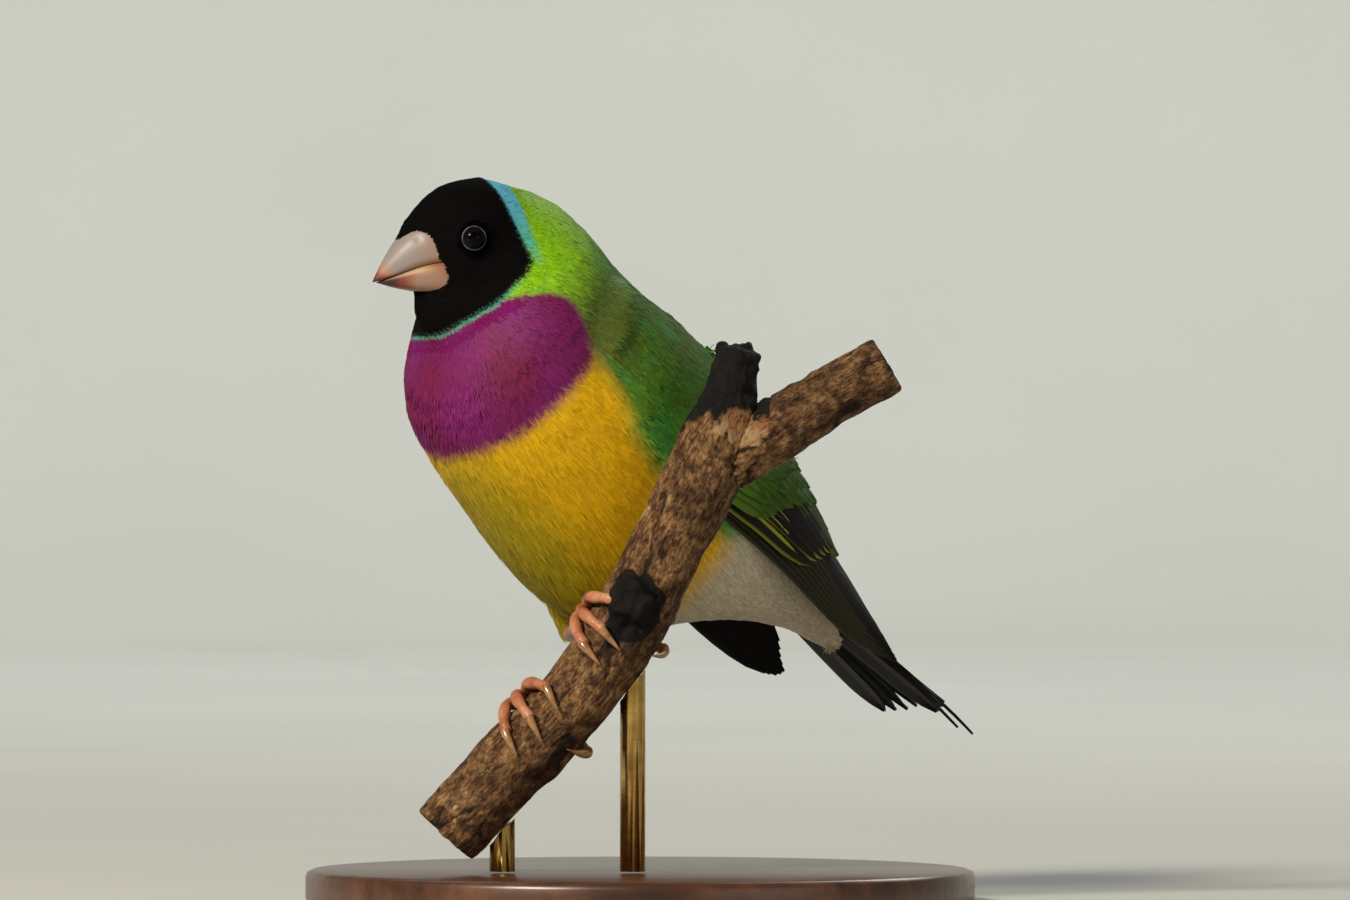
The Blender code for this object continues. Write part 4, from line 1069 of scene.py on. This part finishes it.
def eye_axes(side):
    outward = unit(HEAD[1] * side + HEAD[0] * 0.18 + HEAD[2] * 0.1)
    along = unit(np.cross(HEAD[0], outward))
    return np.array((np.cross(along, outward), along, outward))


def eye_finish():
    finish = Finish("wet_eye", Roughness=0.04, Specular_IOR_Level=0.08)
    pupil = (0.001, 0.001, 0.001)
    finish.feed("Base Color", finish.ramp(finish.attribute("ring", "Fac"), (
        (0.0, pupil), (0.5, pupil), (0.56, linear(20, 11, 8)), (0.95, linear(11, 7, 6)))))
    return finish.material


EYE = eye_finish()
EYE_RING = toned("eye_ring", 1200.0, 2.0, (
    (0.3, linear(30, 37, 46)), (0.7, linear(80, 94, 110))), (3000.0, 1.0, 0.4, 0.00008),
    Roughness=0.5).material


def eyeball(name, side):
    obj = primitive(name, bpy.ops.mesh.primitive_uv_sphere_add, segments=48, ring_count=32,
                    radius=EYE_RADIUS * MM)
    add_layer(obj, "ring", [min(math.hypot(vert.co.x, vert.co.y) / (IRIS_RADIUS * MM), 1.0)
                            for vert in obj.data.vertices])
    axes, centre = eye_axes(side), eye_centre(side)
    for vert in obj.data.vertices:
        x, y, z = vert.co
        vert.co = Vector(centre + (x, y, z * (EYE_BULGE if z > 0.0 else 1.0)) @ axes)
    return covered(obj, EYE)


def eye_ring(name, side):
    """A torus bent round the ball, its tube beaded and its outer edge sunk."""
    obj = primitive(name, bpy.ops.mesh.primitive_torus_add, major_segments=96,
                    minor_segments=12, major_radius=RING_RADIUS * MM,
                    minor_radius=RING_TUBE * MM)
    axes, centre = eye_axes(side), eye_centre(side)
    for vert in obj.data.vertices:
        x, y, z = vert.co
        bead = 1.0 + 0.02 * math.sin(math.atan2(y, x) * RING_BEADS)
        rise = z * 1.3 + RING_RISE * MM - RING_SLOPE * (math.hypot(x, y) - RING_LEVEL * MM)
        vert.co = Vector(centre + (np.array((x, y, rise)) * bead) @ axes)
    return covered(obj, EYE_RING)


eyes = [eyeball("eye_ball_left", 1.0), eyeball("eye_ball_right", -1.0)]
rings = [eye_ring("eye_ring_left", 1.0), eye_ring("eye_ring_right", -1.0)]
print("eyes stand", round(2 * EYE_PLACE[1], 1), "mm apart")

# %% [markdown]
# The feet. Each foot holds the stem with three toes in front and one behind. A toe is a
# round tube whose upper side is stepped like roof tiles for the scutes, swollen a little
# at each joint, and ends in a curved claw of clear horn. The shank above is feathered.

# %% Places on the perch
BRANCH_Y = -15.5
STEM_LINE = ((-27.6, 10.4, 5.3), (-18.6, 20.1, 5.5), (-11.4, 27.3, 5.4), (-5.7, 34.4, 5.3),
             (-0.7, 42.3, 5.6), (3.6, 50.9, 5.3), (7.9, 59.4, 5.6), (11.0, 66.6, 5.2),
             (12.9, 72.6, 3.9), (14.0, 79.2, 2.9))


def stem_at(share):
    """Centre in metres and radius in mm of the stem, read smoothly along its line."""
    rows = np.array(STEM_LINE)
    slopes = np.gradient(rows, axis=0)
    spot = np.clip(share, 0.0, 1.0) * (len(rows) - 1)
    low = min(int(spot), len(rows) - 2)
    s = spot - low
    rise = 3 * s ** 2 - 2 * s ** 3
    x, z, radius = (rows[low] * (1.0 - rise) + rows[low + 1] * rise
                    + slopes[low] * (s ** 3 - 2 * s ** 2 + s) + slopes[low + 1] * (s ** 3 - s ** 2))
    return np.array((x, BRANCH_Y, z)) * MM, radius


def grip(share, turn, along, height):
    """A place round the stem, in mm from its face: turn 0 faces the viewer, in degrees."""
    centre, radius = stem_at(share)
    tangent = unit(stem_at(share + 0.02)[0] - stem_at(share - 0.02)[0])
    left = np.array((-tangent[2], 0.0, tangent[0]))
    angle = math.radians(turn)
    outward = np.array((0.0, -math.cos(angle), 0.0)) + left * math.sin(angle)
    return centre + tangent * along * MM + outward * (radius + height) * MM, outward


UPPER_FOOT, LOWER_FOOT = 0.405, 0.205
print("the feet hold the stem at", stem_at(UPPER_FOOT)[0].round(4), stem_at(LOWER_FOOT)[0].round(4))

# %% [markdown]
# A limb could be grown by a Skin modifier, which has no scutes. Here it is one grid
# wrapped round a line. Its size, scutes and joints come from one formula, so that toes,
# claws and shanks all share the same few lines.

# %% Limbs, toes and claws
LIMB_SIDES, LIMB_ROWS, ROWS_TO_A_SCUTE = 28, 24, 7
TOE_JOINTS, TOE_POINTS, HIND_TOE_POINTS = 3, 16, 22
CLAW_POINTS, HIND_CLAW_POINTS = 12, 14


def limb(name, line, outs, radii, scutes=0, joints=0):
    """A closed tube round a line; outs point to its upper side, radii are in mm."""
    knots = np.linspace(0.0, 1.0, len(line))

    def form(u, v):
        onward = v < 0.98
        spot = read_rows(line, v)
        run = unit(read_rows(line, v + (0.02 if onward else -0.02)) - spot)
        run = run if onward else -run
        across = unit(np.cross(read_rows(outs, v), run))
        out = np.cross(run, across)
        angle = 2.0 * math.pi * u
        upper = max(math.sin(angle), 0.0)
        reach = np.interp(v, knots, radii)
        if scutes:
            step = (v * scutes) % 1.0
            reach *= 1.0 + 0.11 * upper ** 0.5 * (step - 0.5) * min(1.0, 9.0 * (1.0 - step))
        if joints:
            reach *= 1.0 + 0.10 * math.cos(2.0 * math.pi * v * joints) * (1.0 - upper)
        reach *= min(1.0, math.sqrt(max(v, 0.0) * 30.0 + 0.02), math.sqrt((1.0 - v) * 40.0 + 0.01))
        return spot + (across * math.cos(angle) + out * math.sin(angle)) * reach * MM

    obj = shaped_grid(name, LIMB_SIDES, max(LIMB_ROWS, scutes * ROWS_TO_A_SCUTE), form)
    cleaned(obj, 0.01, close=True)
    return obj


def toe_path(share, turns, alongs, heights, count):
    """Places round the stem and the way out from it, read from start to end."""
    rows = [grip(share, *(a + (b - a) * i / (count - 1) for a, b in (turns, alongs, heights)))
            for i in range(count)]
    return zip(*rows)


def toe(share, turns, alongs, heights, radii, scutes, count=TOE_POINTS):
    line, outs = toe_path(share, turns, alongs, heights, count)
    return limb("toe", line, outs, np.linspace(*radii, count), scutes, TOE_JOINTS)


def claw(share, turns, alongs, heights, radius, count=CLAW_POINTS):
    line, outs = toe_path(share, turns, alongs, heights, count)
    return limb("claw", line, outs, radius * (1.0 - np.linspace(0, 0.96, count) ** 1.6))


FOOT_SKIN = toned("foot_skin", 260.0, 3.0, (
    (0.3, linear(130, 70, 46)), (0.5, linear(178, 112, 76)), (0.72, linear(206, 152, 114))),
    (1800.0, 2.0, 0.3, 0.00006), Roughness=0.42, Subsurface_Weight=0.15,
    Subsurface_Scale=0.001).material
CLAW_HORN = toned("claw_horn", 500.0, 2.0, (
    (0.3, linear(120, 76, 44)), (0.7, linear(186, 142, 94))), Roughness=0.25, Coat_Weight=0.4,
    Subsurface_Weight=0.1, Subsurface_Scale=0.001).material
print("foot finishes:", FOOT_SKIN.name, CLAW_HORN.name)

# %% [markdown]
# A foot is given by its place on the stem and the turn of its palm, then the hip and the
# heel in the trunk's frame. For each front toe there follow the turn and the place along
# the stem where it ends and how high its claw's tip stands, and two values for the toe
# behind.

# %% Lay the feet
FEET = {
    "leg_right": (UPPER_FOOT, 138.0, (-7.0, -7.5, -13.0), (-16.5, -8.0, -20.5),
                  ((30.0, 3.2, -0.6), (22.0, -1.2, 0.75), (34.0, -4.4, 0.75)), (262.0, 0.8)),
    "leg_left": (LOWER_FOOT, 146.0, (-9.0, 7.0, -12.0), (-21.0, 4.5, -25.5),
                 ((40.0, 3.4, 0.75), (26.0, -1.4, 0.75), (38.0, -5.2, 0.75)), (278.0, 0.6)),
}


def foot(name):
    share, palm_turn, hip, heel, toes, hind = FEET[name]
    palm, hip, heel = grip(share, palm_turn, 0.0, 1.3)[0], on_body(*hip), on_body(*heel)
    front = -BODY[1] * 0.2 + HEAD[0]
    tarsus = [heel + (palm - heel) * s for s in (-0.12, 0.0, 0.5, 1.0, 1.08)]
    pad = [palm + BODY[2] * h * MM for h in (-1.6, -0.8, 0.0, 0.8, 1.6)]
    parts = [limb("tarsus", tarsus, [front] * 5, [0.9, 1.25, 0.9, 1.2, 0.8], scutes=9),
             limb("pad", pad, [front] * 5, [0.9, 1.5, 1.7, 1.5, 0.9])]
    claws = []
    for end, along, tip_height in toes:
        parts.append(toe(share, (palm_turn, end), (0.0, along), (1.1, 0.8), (1.02, 0.74), 15))
        claws.append(claw(share, (end + 5.0, end - 33.0), (along, along - 1.3),
                          (1.0, tip_height), 0.66))
    end, along = hind
    parts.append(toe(share, (palm_turn, end), (0.0, along), (1.1, 0.9), (1.05, 0.8), 18,
                     HIND_TOE_POINTS))
    claws.append(claw(share, (end - 6.0, end + 46.0), (along, along - 1.6), (1.1, 1.1), 0.72,
                      HIND_CLAW_POINTS))
    shank = limb(name + "_shank", [hip, hip + (heel - hip) * 0.6, heel + (heel - hip) * 0.02],
                 [front] * 3, [3.6, 2.7, 1.4])
    return (covered(joined(name + "_skin", parts), FOOT_SKIN),
            covered(joined(name + "_claws", claws), CLAW_HORN), painted(shank))


feet = {name: foot(name) for name in FEET}
for name, pieces in feet.items():
    print(name, "faces:", [len(piece.data.polygons) for piece in pieces])

# %% [markdown]
# The shanks are feathered like the belly, so each gets a coat of short feathers of its
# own.

# %% Feathered shanks
SHANK_FEATHERS, SHANK_SCALE, SHANK_LIFT = 1500, (0.5, 0.9), 0.03
shank_coats = [coat_piece("coat_" + name, pieces[2], int(SHANK_FEATHERS * DENSITY), seed, COAT,
                          None, SHANK_SCALE, SHANK_LIFT)
               for seed, (name, pieces) in enumerate(feet.items(), 8)]

# %% [markdown]
# The perch. Bark could be a bump map alone, but then the branch's outline stays as smooth
# as a pipe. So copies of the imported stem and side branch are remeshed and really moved:
# lumps and wrinkles run with the branch, with cracks between. Where the bark is torn,
# orange-brown inner wood shows, and the broken top and the twig's stump are charred dark.

# %% Bark
TORN = np.array((15.6, -20.5, 69.0)) * MM
KNOT = np.array((-0.8, -22.0, 43.2)) * MM
CHAR_FROM, CHAR_REACH = 66.5, 8.0
BARK_VOXEL, BARK_SMOOTHING, RELIEF = 0.42 * MM, 4, 0.26 * MM
BARK_RADIUS = 5.4


def perch_form(name, node, line):
    """The remeshed branch, with how far along its line and how far round it each point is."""
    obj = cad_copy(name, [node])
    remeshed(obj, BARK_VOXEL, BARK_SMOOTHING)
    spots = vertex_rows(obj)
    fine = read_rows(line, np.linspace(0.0, 1.0, 200))[:, :2] * MM
    steps = np.concatenate(([0.0], np.cumsum(np.linalg.norm(np.diff(fine, axis=0), axis=1))))
    nearest = np.argmin(np.linalg.norm(spots[:, None, (0, 2)] - fine[None], axis=2), axis=1)
    tangent = unit(np.gradient(fine, axis=0))[nearest]
    offset = spots[:, (0, 2)] - fine[nearest]
    sideways = offset[:, 0] * -tangent[:, 1] + offset[:, 1] * tangent[:, 0]
    turn = np.arctan2(sideways, -(spots[:, 1] - BRANCH_Y * MM))
    along = steps[nearest] / MM
    add_layer(obj, "along", along)
    add_layer(obj, "turn", turn)
    return obj, along, turn, spots


def ridged(obj, along, turn, spots, char, hollow):
    """Bark relief: lumps and wrinkles drawn out along the branch, with fine cracks, and a crack layer
    of darkening for the cracks and of painted shade for the wrinkles' hollows.
    """
    around = np.stack((np.cos(turn), np.sin(turn)), axis=1) * BARK_RADIUS

    def bark_noise(length, width, seed):
        return lattice_noise(np.column_stack((along / length, around / width)), seed)

    wrinkle = bark_noise(5.2, 1.1, 1) + 0.6 * bark_noise(2.4, 0.7, 2)
    crack = np.exp(-(bark_noise(7.0, 1.9, 3) / 0.09) ** 2) * (bark_noise(9.0, 4.0, 4) > -0.1)
    across = np.exp(-(bark_noise(2.0, 6.0, 5) / 0.05) ** 2) * (bark_noise(4.0, 3.0, 6) > 0.25)
    split = np.clip(crack + 0.7 * across, 0.0, 1.0)
    swell = lattice_noise(spots / (6.0 * MM), 8)
    broken = lattice_noise(spots / (1.7 * MM), 9) + 0.5 * lattice_noise(spots / (0.9 * MM), 10)
    rise = 0.55 * wrinkle + 0.3 * bark_noise(1.1, 0.9, 7) + 0.9 * swell - 0.9 * split
    rise += 1.9 * char * broken - 1.6 * hollow
    moved = spots + vertex_rows(obj, "normal") * (rise * RELIEF)[:, None]
    obj.data.vertices.foreach_set("co", moved.reshape(-1))
    obj.data.update()
    # The crack layer darkens the cracks, partly their own dark colour and partly painted shade, and
    # puts painted shade in the hollows between the wrinkles.
    add_layer(obj, "crack", np.clip(split + 0.35 * np.clip(-wrinkle - 0.3, 0.0, 1.0), 0.0, 1.0))


def wear(obj, spots):
    """How charred and how torn each place is, and how deep the twig's stump is hollowed."""
    x, y, z = spots.T / MM
    ragged = lattice_noise(spots / (2.2 * MM), 11)
    top = climb(z + 0.35 * np.abs(x - 12.0), CHAR_FROM, CHAR_REACH) * (x < 18.6)
    reach = np.linalg.norm((spots - KNOT) / (np.array((4.3, 7.0, 5.6)) * MM), axis=1)
    knot = climb(1.25 + 0.35 * ragged, reach, 0.35) * (y < -16.0)
    char = np.clip(top + 0.3 * top * ragged + knot, 0.0, 1.0)
    from_axis = np.linalg.norm((spots - KNOT)[:, (0, 2)], axis=1)
    hollow = np.exp(-(from_axis / (1.7 * MM)) ** 2) * (y < -20.5)
    from_tear = np.linalg.norm((spots - TORN) * (0.75, 0.5, 1.0), axis=1)
    add_layer(obj, "char", char)
    add_layer(obj, "torn", np.clip(1.6 - from_tear / (2.9 * MM), 0, 1))
    return char, hollow


def bark_finish():
    finish = Finish("bark_skin", Specular_IOR_Level=0.25)
    no, yes = (0.0,) * 3, (1.0,) * 3
    along, turn = finish.attribute("along", "Fac"), finish.attribute("turn", "Fac")
    fibres = finish.node("ShaderNodeCombineXYZ", {}, [along * 0.4, turn * 5.0, turn * 2.0], "Vector")
    grain = finish.noise(2.4, 6.0, fibres, 0.72)
    mottle = finish.noise(520.0, 5.0, None, 0.68)
    rough = finish.noise(330.0, 4.0)
    bark = finish.ramp(grain * 0.55 + mottle * 0.45, (
        (0.36, linear(34, 21, 13)), (0.46, linear(82, 56, 34)),
        (0.54, linear(132, 98, 62)), (0.66, linear(180, 148, 108))))
    weather = finish.ramp(finish.noise(130.0, 4.0), (
        (0.34, (0.5, 0.44, 0.4)), (0.5, (0.86, 0.82, 0.78)), (0.66, (1.16, 1.12, 1.06))))
    bark = finish.mix(1.0, bark, weather, "MULTIPLY")
    # Painted shade in the wrinkles' hollows, and in the cracks partly painted shade and partly their
    # own dark colour.
    crack_and_hollow_shade = finish.ramp(finish.attribute("crack", "Fac"), ((0.1, yes), (0.8, (0.22,) * 3)))
    bark = finish.mix(1.0, bark, crack_and_hollow_shade, "MULTIPLY")
    torn = finish.ramp(finish.attribute("torn", "Fac") + rough * 1.9 + mottle * 1.1 - 1.55,
                       ((0.42, no), (0.5, yes)))
    wood = finish.ramp(grain * 0.5 + rough * 0.5, (
        (0.38, linear(60, 28, 15)), (0.45, linear(132, 82, 46)), (0.52, linear(158, 124, 84)),
        (0.68, linear(190, 164, 124))))
    bark = finish.mix(torn, bark, wood)
    char_amount = finish.attribute("char", "Fac")
    char = finish.ramp(char_amount + grain * 0.9 + rough * 1.3 - 1.15, ((0.38, no), (0.56, yes)))
    soot = finish.ramp(mottle, ((0.42, linear(3, 2, 2)), (0.66, linear(24, 15, 10))))
    finish.feed("Base Color", finish.mix(char, bark, soot))
    finish.feed("Roughness", 0.85 - 0.12 * char_amount)
    finish.bump(grain * 0.6 + mottle + finish.noise(1500.0, 3.0) * 0.3, 0.8, 0.0006)
    return finish.material


SIDE_LINE = ((10.6, 62.4, 4.6), (15.4, 65.6, 4.6), (21.4, 69.4, 4.5), (28.0, 73.3, 4.4),
             (35.2, 77.4, 4.3))
BARK = bark_finish()
perch = []
for node, line in (("perch_stem", STEM_LINE), ("perch_side", SIDE_LINE)):
    obj, along, turn, spots = perch_form(node + "_bark", node, line)
    char, hollow = wear(obj, spots)
    ridged(obj, along, turn, spots, char, hollow)
    perch.append(covered(obj, BARK))
    print(obj.name, "faces:", len(obj.data.polygons))

# %% [markdown]
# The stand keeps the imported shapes. It is a turned base of dark wood with a satin
# varnish and two brass rods.

# %% Finish the stand


def wood_finish():
    finish = Finish("dark_wood", Roughness=0.35, Coat_Weight=0.3, Coat_Roughness=0.25)
    stretch = finish.node("ShaderNodeVectorMath", {"operation": "MULTIPLY"},
                          [finish.place(), (12.0, 260.0, 120.0)], "Vector")
    grain = finish.noise(1.0, 5.0, stretch, 0.65)
    finish.feed("Base Color", finish.ramp(grain, (
        (0.3, linear(46, 26, 16)), (0.52, linear(84, 50, 30)), (0.75, linear(116, 74, 46)))))
    finish.bump(grain, 0.15, 0.0002)
    return finish.material


BASE_WOOD = wood_finish()
BRASS = toned("satin_brass", 300.0, 2.0, (
    (0.3, linear(168, 130, 66)), (0.7, linear(214, 178, 104))), Metallic=1.0)
BRASS.feed("Roughness", 0.15 + 0.3 * BRASS.noise(700.0, 3.0))


def dressed(name, node, material):
    obj = covered(cad_copy(name, [node]), material)
    bpy.ops.object.shade_smooth_by_angle(angle=math.radians(30.0))
    return obj


base = dressed("base_wood", "stand_base", BASE_WOOD)
rods = [dressed("rod_brass_" + number, "stand_rod_" + number, BRASS.material) for number in "12"]
print("stand pieces:", 1 + len(rods))

# %% [markdown]
# Every piece rides on the model's single body, and the imported nodes it covers are hidden.

# %% Tie the pieces to the imported model
ties = [(skin, "green_feather", FLESH), (coat[0], "black_feather", FLESH[:1]),
        (coat[1], "purple_feather", FLESH), (coat[2], "yellow_feather", FLESH[1:]),
        (coat[3], "green_feather", FLESH), (wings[0], "green_feather", ("wing_left",)),
        (wings[1], "green_feather", ("wing_right",)), (tail_piece, "dark_feather", ("tail",)),
        (bill[0], "bill_horn", ("bill_upper",)), (bill[1], "bill_horn", ("bill_lower",)),
        (eyes[0], "eye_gloss", ("eye_left",)), (eyes[1], "eye_gloss", ("eye_right",)),
        (rings[0], "eye_gloss", ("eye_left",)), (rings[1], "eye_gloss", ("eye_right",)),
        (perch[0], "bark", ("perch_stem",)), (perch[1], "bark", ("perch_side",)),
        (base, "stand_wood", ("stand_base",)), (rods[0], "stand_brass", ("stand_rod_1",)),
        (rods[1], "stand_brass", ("stand_rod_2",))]
for shank_coat, (name, (bare, horn, shank)) in zip(shank_coats, feet.items()):
    ties += [(bare, "leg_skin", (name,)), (horn, "leg_skin", (name,)),
             (shank, "yellow_feather", (name,)), (shank_coat, "yellow_feather", (name,))]
for piece, slot, nodes in ties:
    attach(piece, "root")
    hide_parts(*nodes)
print("pieces tied:", len(ties), "faces:", sum(len(piece[0].data.polygons) for piece in ties))

# %% [markdown]
# The stage is a pale round tray, floor and wall in one sheet, so that no edge shows behind
# the bird from any side. The light is that of a soft studio: a large warm key from the
# upper left, a broad cool fill, a strip behind for the outline and a wash on the wall.

# %% Sweep, lights and camera
FLOOR, BEND, WALL = 2.0, 0.4, 0.4


def sweep_form(u, v):
    """From the middle out: floor, a quarter turn, then a low wall, all the way round."""
    turn = BEND * math.pi / 2
    run = v * (FLOOR + turn + WALL)
    bent = min(max(run - FLOOR, 0.0), turn) / BEND
    reach = min(run, FLOOR) + BEND * math.sin(bent)
    height = BEND * (1.0 - math.cos(bent)) + max(run - FLOOR - turn, 0.0)
    angle = 2.0 * math.pi * u
    return reach * math.cos(angle), reach * math.sin(angle), height


sweep = shaped_grid("sweep", 96, 160, sweep_form)
sweep.data.materials.append(toned("sweep_paper", 6.0, 2.0, (
    (0.0, linear(196, 198, 190)), (1.0, linear(206, 207, 200))), Roughness=0.9).material)


def area_light(name, place, target, size, watts, colour):
    lamp = bpy.data.lights.new(name, "AREA")
    lamp.shape = "RECTANGLE"
    lamp.size, lamp.size_y = size
    lamp.energy = watts
    lamp.color = colour
    obj = linked(name, lamp)
    obj.location = place
    obj.rotation_euler = (Vector(target) - Vector(place)).to_track_quat("-Z", "Y").to_euler()


bpy.context.scene.view_settings.view_transform = "Standard"
AIM = (-0.005, 0.0, 0.07)
area_light("key", (-0.75, -0.85, 0.80), AIM, (0.28, 0.28), 20.0, (1.0, 0.92, 0.79))
area_light("fill", (1.0, -1.1, 0.35), AIM, (1.0, 0.8), 1.8, (0.92, 0.96, 1.0))
area_light("strip", (0.5, 0.75, 0.75), AIM, (0.5, 0.25), 2.6, (1.0, 0.97, 0.92))
area_light("wall_wash", (0.0, 1.2, 1.5), (0.0, 2.4, 0.2), (2.0, 0.5), 24.0, (1.0, 1.0, 0.98))
world = bpy.data.worlds.new("studio")
bpy.context.scene.world = world
world.use_nodes = True
background = world.node_tree.nodes["Background"].inputs
background["Color"].default_value = (0.85, 0.9, 1.0, 1.0)
background["Strength"].default_value = 0.12

camera = bpy.data.cameras.new("camera")
camera.sensor_width = 36.0
camera.lens = 279.0
camera.clip_end = 20.0
viewer = linked("camera", camera)
viewer.location = (0.005, -1.5, 0.0651)
viewer.rotation_euler = (math.pi / 2, 0.0, 0.0)
bpy.context.scene.camera = viewer
print("camera at", tuple(round(value, 4) for value in viewer.location))
